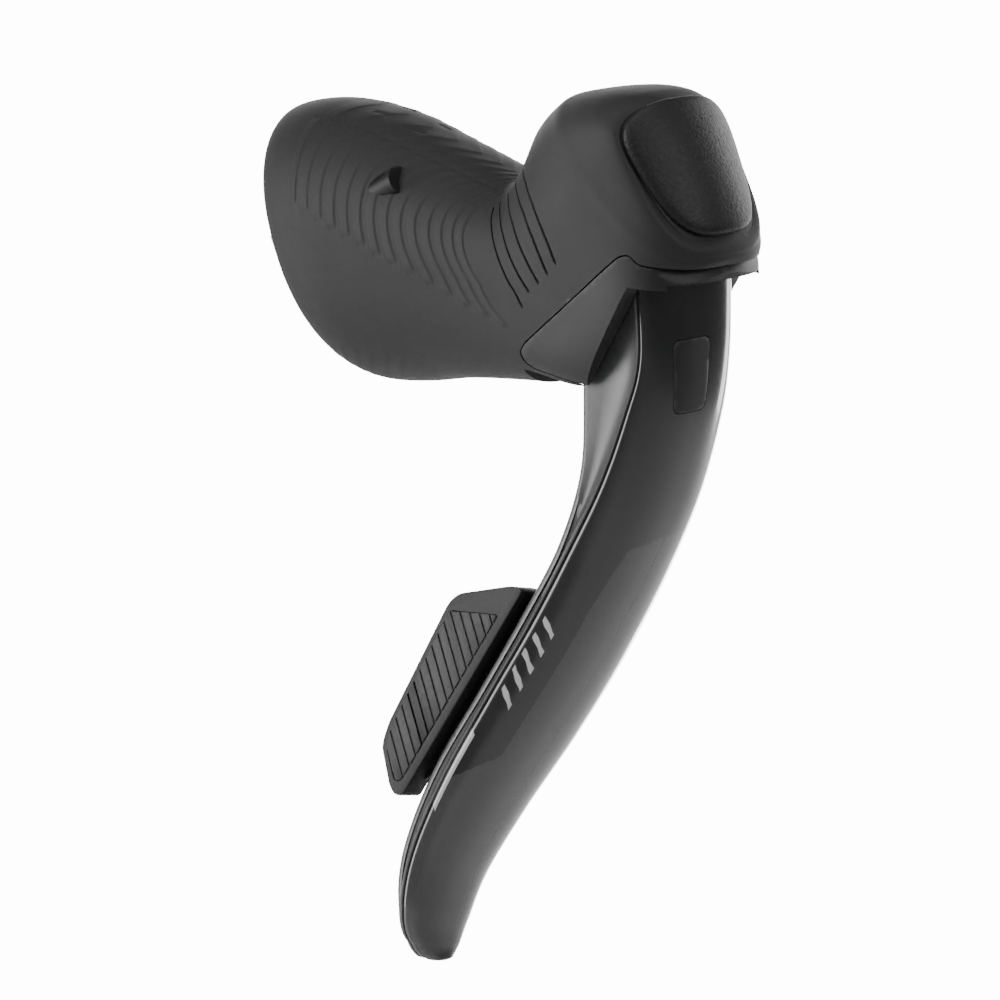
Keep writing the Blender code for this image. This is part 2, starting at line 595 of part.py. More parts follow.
def build_pushrod(pushrod_axis):
    ball = Vector((TRUNNION.x - math.sqrt(PUSHROD_LENGTH ** 2 - (BORE_Z - TRUNNION.z) ** 2), 0, BORE_Z))
    along = (ball - TRUNNION).normalized()
    reach = PUSHROD_LENGTH
    profile = [(0, 1.2), (reach - 0.4, 1.2), (reach + 0.1, 1.8), (reach + 1.0, 2.1), (reach + 1.9, 1.8),
               (reach + 2.6, 1.0)]
    turned("pushrod", TRUNNION - along * 1.0, along, profile, "steel", pushrod_axis)
    ends = [TRUNNION + Vector((0, side, 0)) for side in (-10, 10)]
    trunnion = rod("pushrod_trunnion", *ends, 2.9, "dark_steel", pushrod_axis, sides=20)
    cut(trunnion, rod("trunnion_thread", TRUNNION - along * 5, TRUNNION + along * 5, 1.5, None, pushrod_axis))


def build_hose_port():
    profile = [(0, 1.9), (0, 3.3), (6.4, 3.3), (6.4, 2.5), (9.4, 2.5), (9.4, 1.9)]
    turned("hose_nut", HOSE, (1, 0, 0), profile, "dark_steel", sides=12, bored=True)
    ring("hose_olive", HOSE + Vector((9.7, 0, 0)), (1, 0, 0), 1.4, 1.5, 2.4, "brass")


# ---------------------------------------------------------------- electronics

def hatch_corners():
    x, z = HATCH_CENTRE
    return (x - 9.7, z + 9.7), (x + 9.7, z - 9.7)


def build_electronics():
    board = prism("circuit_board", rounded(HATCH_CENTRE, 10.0, 10.0, 8.2), 6.4, 7.1, "board_green")
    x, z = HATCH_CENTRE
    chips = [((x - 6, 6.9, z + 2), (x - 1, 7.35, z + 6)), ((x + 2, 6.9, z - 5), (x + 6, 7.3, z - 1))]
    join(board, *[block("board_chip", low, high) for low, high in chips])
    ring("battery_contact", (x, 7.7, z), (0, 1, 0), 0.3, 4.0, 6.5, "steel")
    rod("coin_cell", (x, 8.2, z), (x, 10.6, z), 9.6, "steel", sides=28)
    outer, inner = rounded(HATCH_CENTRE, 11.6, 11.6, 9.4), rounded(HATCH_CENTRE, 10.8, 10.8, 8.8)
    rings = [[Vector((u, level, v)) for u, v in outline]
             for outline, level in ((outer, 11.0), (outer, 11.25), (inner, 11.25), (inner, 11.0))]
    loft("hatch_gasket", rings, "seal_rubber", looped=True)
    hatch = prism("battery_hatch", rounded(HATCH_CENTRE, 11.5, 11.5, 4.0), 11.45, 12.0, "body_plastic")
    for name, (sx, sz) in zip(("hatch_screw_upper", "hatch_screw_lower"), hatch_corners()):
        cut(hatch, rod(name + "_way", (sx, 10, sz), (sx, 14, sz), 1.0, sides=10))
        rod(name, (sx, 8.8, sz), (sx, 11.9, sz), 0.7, "steel", sides=10)


def build_buttons(horn_axis, function_axis):
    x, z = HORN_BUTTON
    domed = [(0, 3.7), (3.6, 3.7), (4.3, 3.0), (4.6, 1.6)]
    turned("horn_button", (x, 12.6, z), (0, 1, 0), domed, "grip_rubber", horn_axis)
    x, z = FUNCTION_BUTTON
    flat = [(0, 2.0), (1.9, 2.0), (2.2, 1.5)]
    turned("function_button", (x, 13.6, z), (0, 1, 0), flat, "grip_rubber", function_axis)
    x, z = STATUS_LENS
    turned("status_lens", (x, 13.5, z), (0, 1, 0), [(0, 1.0), (1.6, 1.0), (1.9, 0.6)], "lens_clear")


# ---------------------------------------------------------------- brake blade

def reach_panel(inset):
    """Outline of the panel on the blade's front: sideways and height."""
    corners = [(-4.8 + inset, 6.9 - inset), (-4.0 + inset, -5.7 + inset), (-2.8 + inset, -7.1 + inset),
               (2.8 - inset, -7.1 + inset), (4.0 - inset, -5.7 + inset), (4.8 - inset, 6.9 - inset)]
    return [(REACH_SIDE + side, REACH_Z + up) for side, up in corners]


def build_blade_shell(blade_axis):
    shell = loft("blade_shell", blade_rings(shell_section, 27), "gloss_carbon", blade_axis)
    cut(shell, prism("reach_opening", reach_panel(0), 88, 110, None, blade_axis, facing_front))
    cover = loft("reach_cover", blade_rings(shell_section, 27)[:8], "body_plastic", blade_axis)
    kept = prism("reach_cover_outline", reach_panel(0.25), 88, 110, None, blade_axis, facing_front)
    boolean(cover, "INTERSECT", kept)


def build_blade_frame(blade_axis):
    frame = loft("blade_frame", blade_rings(frame_section, 23), "frame_grey", blade_axis)
    lug = arc_points((PIVOT.x, PIVOT.z), 5.4, -25, 205, 13) + [(79.2, -5.0), (90.0, -5.0)]
    for low, high in ((-LUG_HALF, -LUG_INNER), (LUG_INNER, LUG_HALF)):
        join(frame, prism("lug", lug, low, high, None, blade_axis))
    cut(frame, *blade_cuts(blade_axis))
    outline = [(-2.6, 5.0), (3.6, 5.0), (3.6, 11.6), (-2.6, 11.6)]
    for name, along in (("upper_bracket", -15.6), ("lower_bracket", 17.2)):
        join(frame, prism(name, outline, along, along + 2.6, None, blade_axis, across_paddle))
    cut(frame, rod("paddle_pin_way", *hinge_line(-17.5, 21.5), 1.35, None, blade_axis))


def blade_cuts(blade_axis):
    slope = [(97.4, 1.9), (74, -3.9), (74, 2.6), (97.4, 2.6)]
    top_slopes = [prism("blade_top_slope", slope, low, high, None, blade_axis)
                  for low, high in ((-13, -LUG_HALF - 0.001), (LUG_HALF + 0.001, 13))]
    spring_room = prism("spring_room", [(77, 12), (92, 12), (92, 0.2), (77, -1.4)], -LUG_INNER, LUG_INNER,
                        None, blade_axis)
    bush_way, trunnion_way = [
        rod(name, centre - Vector((0, 13, 0)), centre + Vector((0, 13, 0)), radius, None, blade_axis, sides=20)
        for name, centre, radius in (("bush_way", PIVOT, 4.2), ("trunnion_way", TRUNNION, 3.2))]
    swing_room = block("rod_swing_room", (73, -2.4, -15.6), (82, 2.4, -4.4), None, blade_axis)
    reach_way, reach_seat = [
        rod(name, (x, REACH_SIDE, REACH_Z), (100, REACH_SIDE, REACH_Z), radius, None, blade_axis)
        for name, x, radius in (("reach_way", 86.5, 1.9), ("reach_seat", 93.8, 3.0))]
    hollow = [(-9.2, 5.9), (9.2, 5.9), (9.2, 24), (-9.2, 24)]
    channel = prism("paddle_channel", hollow, -27, 30, None, blade_axis, across_paddle)
    trough = [(-8.6, 7.5), (8.6, 7.5), (8.6, 30), (-8.6, 30)]
    upper_channel = loft("upper_channel", [[Vector((x - depth, side, z)) for side, depth in trough]
                                           for x, z in ((99.0, -27.5), (94.6, -40.0), (86.0, -60.0))],
                         None, blade_axis)
    lead_way = tube_along("blade_lead_way", lead_route(), 1.0, None, blade_axis)
    return (*top_slopes, spring_room, bush_way, trunnion_way, swing_room, reach_way, reach_seat,
            channel, upper_channel, lead_way)


def build_pivot(blade_axis, reach_axis):
    pin = rod("pivot_pin", (PIVOT.x, -13.0, PIVOT.z), (PIVOT.x, 13.0, PIVOT.z), 2.3, "steel", sides=20)
    cut(pin, rod("pin_flat", (PIVOT.x, 10.8, PIVOT.z + 1.7), (PIVOT.x, 10.8, PIVOT.z + 5), 1.7))
    for name, sign in (("pivot_bush_inboard", 1), ("pivot_bush_outboard", -1)):
        profile = [(0, 2.5), (0, 3.9), (3.95, 3.9), (3.95, 4.9), (4.3, 4.9), (4.3, 2.5)]
        start = (PIVOT.x, sign * (LUG_INNER + 0.15), PIVOT.z)
        turned(name, start, (0, sign, 0), profile, "brass", blade_axis, 20, bored=True)
    rod("pin_lock_screw", (PIVOT.x, 10.8, PIVOT.z + 2.1), (PIVOT.x, 10.8, PIVOT.z + 7), 1.4, "dark_steel")
    coil = coil_route((PIVOT.x, -3.0, PIVOT.z), (0, 1, 0), 3.6, 6.0, 4)
    outward = [(end - Vector((PIVOT.x, end.y, PIVOT.z))).normalized() for end in (coil[0], coil[-1])]
    legs = [[end + away * reach for reach in (1.0, 2.0)] for end, away in zip((coil[0], coil[-1]), outward)]
    tube_along("blade_return_spring", legs[0][::-1] + coil + legs[1], 0.45, "steel")
    head_top = (96.4, REACH_SIDE, REACH_Z)
    screw("reach_screw", head_top, (-1, 0, 0), (2.5, 2.0), (1.5, 7.0), "dark_steel", reach_axis)


# ---------------------------------------------------------------- shift paddle

def build_paddle(paddle_axis, plunger_axis, blade_axis):
    side, back = PADDLE_HINGE
    outline = [(-15.5, 14.2), (-13.8, 17.2), (-4.0, 27.2), (-1.0, 28.2), (27.0, 25.8), (31.5, 24.4),
               (36.0, 17.6), (36.4, 15.4), (35.2, 13.7)]
    paddle = prism("shift_paddle", outline, -12.0, -7.0, "paddle_plastic", paddle_axis, beside_paddle)
    barrel = rod("paddle_barrel", *hinge_line(-12.6, 11.0), 2.6, None, paddle_axis)
    slanted = [(side + 0.8, back + 1.9), (side - 1.6, back - 0.6), (-9.0, 16.4), (-7.6, 19.2)]
    web = prism("paddle_web", slanted, -9.0, 9.0, None, paddle_axis, across_paddle)
    tab = prism("paddle_tab", [(side, back + 0.6), (side, back + 2.3), (8.0, back + 2.3), (8.0, back + 0.6)],
                -8.0, -3.0, None, paddle_axis, across_paddle)
    grip_seat = prism("grip_seat", grip_outline(-0.3), -13, -11.2, None, paddle_axis, beside_paddle)
    flange = prism("paddle_flange", [(-13.0, 11.6), (-13.0, 16.4), (33.5, 16.4), (33.5, 15.0), (27.0, 11.6)],
                   -8.6, -7.1, None, paddle_axis, beside_paddle)
    join(paddle, flange, web, barrel, tab)
    pin_way = rod("paddle_bore", *hinge_line(-20, 20), 1.5, None, paddle_axis)
    cut(paddle, pin_way, grip_seat)
    prism("paddle_grip", grip_outline(0), -12.2, -11.5, "grip_rubber", paddle_axis, beside_paddle)
    rod("paddle_pin", *hinge_line(-17.2, 21.2), 1.1, "steel", blade_axis)
    coil = coil_route(paddle_point(11.8, side, back), PADDLE_ALONG, 2.0, 4.4, 4)
    tube_along("paddle_spring", coil, 0.35, "steel", blade_axis)
    build_switch(plunger_axis, blade_axis)


def grip_outline(inset):
    """Outline of the ribbed insert on the paddle's outer face."""
    return [(-7.5 + inset, 16.2 + inset), (0.5 * inset, 26.8 - inset), (26.6 - 0.2 * inset, 24.6 - inset),
            (30.6 - 0.7 * inset, 23.2 - inset), (34.2 - inset, 17.4), (33.2 - inset, 15.8 + inset)]


def lead_route():
    """The switch's lead, up the blade's channel and out of its top."""
    route = [paddle_point(-8.6, 6.3, 7.1), paddle_point(-14, 6.5, 7.4), paddle_point(-20, 6.4, 8.2),
             (83.6, 6.0, -50.0), (86.2, 6.3, -41.0), (88.6, 6.3, -32.0), (90.2, 6.3, -23.0),
             (91.2, 6.3, -12.0), (92.0, 6.3, -2.0), (92.2, 6.3, 1.6), (92.2, 6.3, 4.0)]
    steps = 2 * (len(route) - 1)
    return [Vector(spline([tuple(point) for point in route], i / 2)) for i in range(steps + 1)]


def build_switch(plunger_axis, blade_axis):
    outline = [(3.8, 6.2), (8.8, 6.2), (8.8, 8.0), (3.8, 8.0)]
    body = prism("paddle_switch", outline, -9.0, -2.0, "seal_rubber", blade_axis, across_paddle)
    place = paddle_point(-5.5, 6.3, 6.6)
    cut(body, rod("plunger_way", place, place + PADDLE_BACK * 4, 1.4, None, blade_axis))
    start = paddle_point(-5.5, 6.3, 7.4)
    rod("switch_plunger", start, start + PADDLE_BACK * 1.8, 1.1, "nylon", plunger_axis)
    tube_along("switch_lead", lead_route()[1:-1], 0.5, "seal_rubber", blade_axis)
    rod("lead_connector", (91.0, 6.3, 9.4), (91.0, 6.3, 12.0), 1.6, "nylon", sides=12)


# ---------------------------------------------------------------- assembly

def main():
    clear_scene()
    blade_axis = carrier("blade_axis", PIVOT)
    pushrod_axis = carrier("pushrod_axis", TRUNNION)
    piston_axis = carrier("piston_axis", (60, 0, BORE_Z))
    paddle_axis = carrier("paddle_axis", paddle_point(0, *PADDLE_HINGE))
    plunger_axis = carrier("plunger_axis", paddle_point(-5.5, 6.3, 7.4))
    horn_axis = carrier("horn_button_axis", (HORN_BUTTON[0], 12, HORN_BUTTON[1]))
    function_axis = carrier("function_button_axis", (FUNCTION_BUTTON[0], 13, FUNCTION_BUTTON[1]))
    reach_axis = carrier("reach_axis", (95, REACH_SIDE, REACH_Z))
    build_hood()
    build_pad()
    build_body()
    build_clamp()
    build_reservoir()
    build_master(piston_axis)
    build_pushrod(pushrod_axis)
    build_hose_port()
    build_electronics()
    build_buttons(horn_axis, function_axis)
    build_blade_shell(blade_axis)
    build_blade_frame(blade_axis)
    build_pivot(blade_axis, reach_axis)
    build_paddle(paddle_axis, plunger_axis, blade_axis)


main()
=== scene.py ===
"""Looks of a right-hand drop-bar brake and shift lever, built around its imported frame.

Frame: metres, +X forward, +Y towards the bicycle's middle, +Z up, origin on the handlebar clamp.
The forms below are worked out in millimetres and turned into metres when a mesh is made.
"""
import json
import logging
import math
from dataclasses import dataclass
from enum import Enum
from typing import Callable, Sequence

import bpy
import numpy as np
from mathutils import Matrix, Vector
from mathutils.kdtree import KDTree


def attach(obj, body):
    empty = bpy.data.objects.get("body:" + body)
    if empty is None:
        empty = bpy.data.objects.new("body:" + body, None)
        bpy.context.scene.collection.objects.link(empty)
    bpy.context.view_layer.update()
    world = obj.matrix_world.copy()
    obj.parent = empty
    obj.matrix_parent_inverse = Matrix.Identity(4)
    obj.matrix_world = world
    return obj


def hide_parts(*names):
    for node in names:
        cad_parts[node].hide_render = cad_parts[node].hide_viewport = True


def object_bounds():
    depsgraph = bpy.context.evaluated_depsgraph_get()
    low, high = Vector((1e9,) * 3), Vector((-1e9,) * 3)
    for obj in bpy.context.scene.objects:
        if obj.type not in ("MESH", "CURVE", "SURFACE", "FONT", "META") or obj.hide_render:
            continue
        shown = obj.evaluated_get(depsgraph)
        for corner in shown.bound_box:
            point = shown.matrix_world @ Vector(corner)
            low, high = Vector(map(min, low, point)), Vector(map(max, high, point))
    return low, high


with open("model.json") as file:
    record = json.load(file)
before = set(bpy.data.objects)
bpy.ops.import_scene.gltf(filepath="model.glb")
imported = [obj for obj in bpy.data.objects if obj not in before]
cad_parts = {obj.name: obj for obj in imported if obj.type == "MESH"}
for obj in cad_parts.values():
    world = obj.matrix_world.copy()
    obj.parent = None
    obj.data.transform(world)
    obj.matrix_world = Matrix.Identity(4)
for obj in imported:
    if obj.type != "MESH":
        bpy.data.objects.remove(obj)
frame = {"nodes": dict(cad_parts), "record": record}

CAD_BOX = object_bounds()
MM = 0.001
SHARP = math.radians(34)
log = logging.getLogger("lever")


class Side(Enum):
    """The two sides of the lever, as signs along Y."""

    OUTBOARD = -1
    INBOARD = 1


class Grain(Enum):
    """The surface textures that a finish can ask for."""

    FINE = "fine_grain"
    PEBBLE = "pebble_grain"
    BRUSHED = "brushed_grain"


# ---------------------------------------------------------------- mesh tools

def smooth_rows(table: Sequence[Sequence[float]], places: np.ndarray) -> np.ndarray:
    """Reads a table at fractional rows along a smooth curve.

    Args:
        table: Rows of numbers.
        places: Row positions, from 0 to the last row.

    Returns:
        One row of numbers for each place.
    """
    rows = np.asarray(table, float)
    base = np.clip(np.floor(places).astype(int), 0, len(rows) - 2)
    f = (places - base)[:, None]
    a, b = rows[np.maximum(base - 1, 0)], rows[base]
    c, d = rows[base + 1], rows[np.minimum(base + 2, len(rows) - 1)]
    return 0.5 * (2 * b + (c - a) * f + (2 * a - 5 * b + 4 * c - d) * f ** 2 + (3 * b - a - 3 * c + d) * f ** 3)


def soft_step(value: np.ndarray, width: float) -> np.ndarray:
    """Rises smoothly from 0 to 1 as value goes from minus to plus half of width."""
    share = np.clip(value / width + 0.5, 0, 1)
    return share * share * (3 - 2 * share)


def make_object(name: str, points: np.ndarray, faces: list) -> bpy.types.Object:
    """Makes one mesh object from points in millimetres.

    Args:
        name: The object's name.
        points: Point rows, in millimetres.
        faces: Lists of point numbers.

    Returns:
        The new object, with smooth shading and outward faces.
    """
    mesh = bpy.data.meshes.new(name)
    mesh.from_pydata((np.asarray(points, float) * MM).tolist(), [], faces)
    made = bpy.data.objects.new(name, mesh)
    bpy.context.scene.collection.objects.link(made)
    bpy.context.view_layer.objects.active = made
    bpy.ops.object.select_all(action="DESELECT")
    made.select_set(True)
    bpy.ops.object.mode_set(mode="EDIT")
    bpy.ops.mesh.select_all(action="SELECT")
    bpy.ops.mesh.normals_make_consistent(inside=False)
    bpy.ops.object.mode_set(mode="OBJECT")
    return made


def loft(name: str, rings: np.ndarray, looped: bool = False) -> bpy.types.Object:
    """Skins rings of equal length into one closed body.

    Args:
        name: The object's name.
        rings: Array of rings, points and coordinates, in millimetres.
        looped: True when the last ring joins the first one.

    Returns:
        The closed object.
    """
    count, size = rings.shape[:2]
    faces = []
    for i in range(count if looped else count - 1):
        low, high = i * size, (i + 1) % count * size
        faces += [(low + j, low + (j + 1) % size, high + (j + 1) % size, high + j) for j in range(size)]
    if not looped:
        faces += [tuple(range(size)), tuple(range((count - 1) * size, count * size))]
    return make_object(name, rings.reshape(-1, 3), faces)


def ring_around(start: Vector, direction: Vector, along: float, radius: float, sides: int) -> list:
    """Returns a circle of points square to a direction, at a distance along it."""
    direction = direction.normalized()
    helper = Vector((0, 0, 1)) if abs(direction.z) < 0.9 else Vector((1, 0, 0))
    first = direction.cross(helper).normalized()
    second = direction.cross(first)
    turns = [2 * math.pi * (k + 0.5) / sides for k in range(sides)]
    return [tuple(start + direction * along + radius * (math.cos(a) * first + math.sin(a) * second)) for a in turns]


def rod(name: str, start: Sequence[float], end: Sequence[float], radius: float, sides: int = 40) -> bpy.types.Object:
    """Makes a straight round bar between two points, in millimetres."""
    start, end = Vector(start), Vector(end)
    rings = [ring_around(start, end - start, along, radius, sides) for along in (0.0, (end - start).length)]
    return loft(name, np.array(rings))


def round_corners(outline: Sequence[tuple], radius: float, steps: int = 6) -> list:
    """Rounds the corners of an outline with arcs.

    Args:
        outline: Corner points of a closed flat outline.
        radius: Corner radius, cut down where an edge is too short for it.
        steps: Points on each arc.

    Returns:
        The rounded outline's points.
    """
    corners = [np.array(point, float) for point in outline]
    rounded = []
    for i, corner in enumerate(corners):
        before, after = corners[i - 1] - corner, corners[(i + 1) % len(corners)] - corner
        reach = min(radius, 0.45 * np.linalg.norm(before), 0.45 * np.linalg.norm(after))
        enter = corner + before / np.linalg.norm(before) * reach
        leave = corner + after / np.linalg.norm(after) * reach
        for share in np.linspace(0, 1, steps):
            rounded.append(tuple((1 - share) ** 2 * enter + 2 * share * (1 - share) * corner + share ** 2 * leave))
    return rounded


Place = Callable[[float, float, float], Sequence[float]]


def upright(u: float, v: float, sweep: float) -> tuple:
    """Puts an outline in the XZ plane, swept along Y."""
    return u, sweep, v


def facing_front(u: float, v: float, sweep: float) -> tuple:
    """Puts an outline in the YZ plane, swept along X."""
    return sweep, u, v


def prism(name: str, outline: Sequence[tuple], low: float, high: float, place: Place = upright) -> bpy.types.Object:
    """Sweeps an outline between two depths.

    Args:
        name: The object's name.
        outline: Flat points (u, v).
        low: Where the sweep starts.
        high: Where the sweep ends.
        place: Puts (u, v, sweep) into the row frame.

    Returns:
        The closed object.
    """
    return loft(name, np.array([[tuple(place(u, v, depth)) for u, v in outline] for depth in (low, high)]))


def combine(target: bpy.types.Object, operation: str, tools: Sequence[bpy.types.Object]) -> None:
    """Applies exact Booleans to target and removes the tools.

    Args:
        target: The object that changes.
        operation: DIFFERENCE, UNION or INTERSECT.
        tools: The objects that cut or join.
    """
    for tool in tools:
        modifier = target.modifiers.new(tool.name, "BOOLEAN")
        modifier.operation = operation
        modifier.object = tool
        modifier.solver = "EXACT"
        bake_modifiers(target)
        bpy.data.objects.remove(tool, do_unlink=True)


def cut(target: bpy.types.Object, *tools: bpy.types.Object) -> None:
    """Cuts the tools out of target."""
    combine(target, "DIFFERENCE", tools)


def join(target: bpy.types.Object, *tools: bpy.types.Object) -> None:
    """Joins the tools to target as one body."""
    combine(target, "UNION", tools)


def bake_modifiers(item: bpy.types.Object) -> None:
    """Turns an object's modifiers into its own mesh."""
    depsgraph = bpy.context.evaluated_depsgraph_get()
    baked = bpy.data.meshes.new_from_object(item.evaluated_get(depsgraph))
    item.modifiers.clear()
    old, item.data = item.data, baked
    bpy.data.meshes.remove(old)


def soften(item: bpy.types.Object, width: float, segments: int = 2, angle: float = 35) -> None:
    """Rounds an object's sharp edges by a width in millimetres and shades it smooth."""
    if width:
        bevel = item.modifiers.new("soft_edges", "BEVEL")
        bevel.width = width * MM
        bevel.segments = segments
        bevel.limit_method = "ANGLE"
        bevel.angle_limit = math.radians(angle)
        bevel.harden_normals = False
        bake_modifiers(item)
    item.data.shade_smooth()
    item.data.set_sharp_from_angle(angle=SHARP)


# ---------------------------------------------------------------- shared material effects

class Effect:
    """Builds one shader node group with named sockets."""

    def __init__(self, name: str, inputs: dict[str, float], outputs: Sequence[str]) -> None:
        """Makes the empty group.

        Args:
            name: The group's name.
            inputs: Socket names with their default values.
            outputs: Names of the values that the group puts out.
        """
        self.tree = bpy.data.node_groups.new(name, "ShaderNodeTree")
        for socket, value in inputs.items():
            made = self.tree.interface.new_socket(name=socket, in_out="INPUT", socket_type="NodeSocketFloat")
            made.default_value = value
        for socket in outputs:
            self.tree.interface.new_socket(name=socket, in_out="OUTPUT", socket_type="NodeSocketFloat")
        self.source = self.tree.nodes.new("NodeGroupInput")
        self.result = self.tree.nodes.new("NodeGroupOutput")

    def add(self, kind: str, **settings: object) -> bpy.types.Node:
        """Adds a node and sets its options."""
        node = self.tree.nodes.new(kind)
        for key, value in settings.items():
            setattr(node, key, value)
        return node

    def link(self, start: bpy.types.NodeSocket, end: bpy.types.NodeSocket) -> None:
        """Links two sockets."""
        self.tree.links.new(start, end)

    def math(self, operation: str, first: object, second: object = 0.0, third: object = 0.0) -> bpy.types.NodeSocket:
        """Adds a Math node on sockets or numbers and returns its result."""
        node = self.add("ShaderNodeMath", operation=operation)
        for slot, value in zip(node.inputs, (first, second, third)):
            if isinstance(value, bpy.types.NodeSocket):
                self.link(value, slot)
            else:
                slot.default_value = value
        return node.outputs[0]

    def place(self, size_input: str = "Size") -> bpy.types.NodeSocket:
        """Returns object coordinates divided by a size in millimetres."""
        coordinates = self.add("ShaderNodeTexCoord")
        scale = self.math("DIVIDE", 1000.0, self.source.outputs[size_input])
        vector = self.add("ShaderNodeVectorMath", operation="SCALE")
        self.link(coordinates.outputs["Object"], vector.inputs[0])
        self.link(scale, vector.inputs["Scale"])
        return vector.outputs["Vector"]


def fine_grain() -> bpy.types.NodeTree:
    """Builds the spark-eroded texture of moulded plastic and rubber."""
    effect = Effect(Grain.FINE.value, {"Size": 0.4}, ("Height", "Tone"))
    place = effect.place()
    noise = effect.add("ShaderNodeTexNoise", noise_dimensions="3D")
    noise.inputs["Scale"].default_value = 1.0
    noise.inputs["Detail"].default_value = 3.0
    effect.link(place, noise.inputs["Vector"])
    broad = effect.add("ShaderNodeTexNoise", noise_dimensions="3D")
    broad.inputs["Scale"].default_value = 0.035
    broad.inputs["Detail"].default_value = 2.0
    effect.link(place, broad.inputs["Vector"])
    tone = effect.math("MULTIPLY_ADD", noise.outputs["Fac"], 0.45, effect.math("MULTIPLY", broad.outputs["Fac"], 0.55))
    effect.link(noise.outputs["Fac"], effect.result.inputs["Height"])
    effect.link(tone, effect.result.inputs["Tone"])
    return effect.tree


def pebble_grain() -> bpy.types.NodeTree:
    """Builds the leather-like pebbles of the horn's pad."""
    effect = Effect(Grain.PEBBLE.value, {"Size": 0.8}, ("Height", "Tone"))
    place = effect.place()
    cells = effect.add("ShaderNodeTexVoronoi", feature="SMOOTH_F1")
    cells.inputs["Scale"].default_value = 1.0
    cells.inputs["Smoothness"].default_value = 0.35
    warp = effect.add("ShaderNodeTexNoise", noise_dimensions="3D")
    warp.inputs["Scale"].default_value = 0.6
    bent = effect.add("ShaderNodeVectorMath", operation="ADD")
    effect.link(place, warp.inputs["Vector"])
    effect.link(place, bent.inputs[0])
    effect.link(warp.outputs["Color"], bent.inputs[1])
    effect.link(bent.outputs["Vector"], cells.inputs["Vector"])
    height = effect.math("SUBTRACT", 1.0, cells.outputs["Distance"])
    effect.link(height, effect.result.inputs["Height"])
    effect.link(effect.math("MULTIPLY_ADD", height, 0.6, effect.math("MULTIPLY", warp.outputs["Fac"], 0.4)),
                effect.result.inputs["Tone"])
    return effect.tree


def brushed_grain() -> bpy.types.NodeTree:
    """Builds the fine turned or drawn lines of bare metal."""
    effect = Effect(Grain.BRUSHED.value, {"Size": 0.3}, ("Height", "Tone"))
    stretch = effect.add("ShaderNodeVectorMath", operation="MULTIPLY")
    stretch.inputs[1].default_value = (1.0, 0.12, 1.0)
    effect.link(effect.place(), stretch.inputs[0])
    noise = effect.add("ShaderNodeTexNoise", noise_dimensions="3D")
    noise.inputs["Scale"].default_value = 1.0
    noise.inputs["Detail"].default_value = 4.0
    effect.link(stretch.outputs["Vector"], noise.inputs["Vector"])
    effect.link(noise.outputs["Fac"], effect.result.inputs["Height"])
    effect.link(noise.outputs["Fac"], effect.result.inputs["Tone"])
    return effect.tree


def edge_wear_and_groove_shade() -> bpy.types.NodeTree:
    """Builds a mask of rubbed convex edges, broken up by noise, and a mask of grooves where shade is painted into the
    colour.
    """
    effect = Effect("edge_wear_and_groove_shade", {"Amount": 0.2, "Size": 2.0}, ("Mask", "PaintedGrooveShade"))
    geometry = effect.add("ShaderNodeNewGeometry")
    raised = effect.math("MULTIPLY", effect.math("SUBTRACT", geometry.outputs["Pointiness"], 0.515), 14.0)
    noise = effect.add("ShaderNodeTexNoise", noise_dimensions="3D")
    noise.inputs["Scale"].default_value = 1.0
    noise.inputs["Detail"].default_value = 4.0
    effect.link(effect.place(), noise.inputs["Vector"])
    broken = effect.math("MULTIPLY", raised, noise.outputs["Fac"])
    mask = effect.add("ShaderNodeClamp")
    effect.link(effect.math("MULTIPLY", broken, effect.source.outputs["Amount"]), mask.inputs["Value"])
    effect.link(mask.outputs["Result"], effect.result.inputs["Mask"])
    # Painted shade: hollows and grooves, where pointiness is low, get a mask that darkens their colour
    painted_groove_shade = effect.add("ShaderNodeMapRange")
    painted_groove_shade.inputs["From Min"].default_value = 0.485
    painted_groove_shade.inputs["From Max"].default_value = 0.420
    effect.link(geometry.outputs["Pointiness"], painted_groove_shade.inputs["Value"])
    effect.link(painted_groove_shade.outputs["Result"], effect.result.inputs["PaintedGrooveShade"])
    return effect.tree


def settled_dust() -> bpy.types.NodeTree:
    """Builds a mask of light dust that lies on faces turned upward."""
    effect = Effect("settled_dust", {"Amount": 0.1, "Size": 6.0}, ("Mask",))
    geometry = effect.add("ShaderNodeNewGeometry")
    parts = effect.add("ShaderNodeSeparateXYZ")
    effect.link(geometry.outputs["Normal"], parts.inputs["Vector"])
    noise = effect.add("ShaderNodeTexNoise", noise_dimensions="3D")
    noise.inputs["Scale"].default_value = 1.0
    noise.inputs["Detail"].default_value = 6.0
    effect.link(effect.place(), noise.inputs["Vector"])
    upward = effect.add("ShaderNodeMapRange")
    upward.inputs["From Min"].default_value = -0.2
    upward.inputs["From Max"].default_value = 1.0
    effect.link(parts.outputs["Z"], upward.inputs["Value"])
    speckle = effect.math("MULTIPLY", upward.outputs["Result"], noise.outputs["Fac"])
    effect.link(effect.math("MULTIPLY", speckle, effect.source.outputs["Amount"]), effect.result.inputs["Mask"])
    return effect.tree


EFFECTS: dict[str, bpy.types.NodeTree] = {}


def build_effects() -> None:
    """Builds every shared node group once."""
    for build in (fine_grain, pebble_grain, brushed_grain, edge_wear_and_groove_shade, settled_dust):
        made = build()
        EFFECTS[made.name] = made


# ---------------------------------------------------------------- finishes

Colour = tuple[float, float, float]


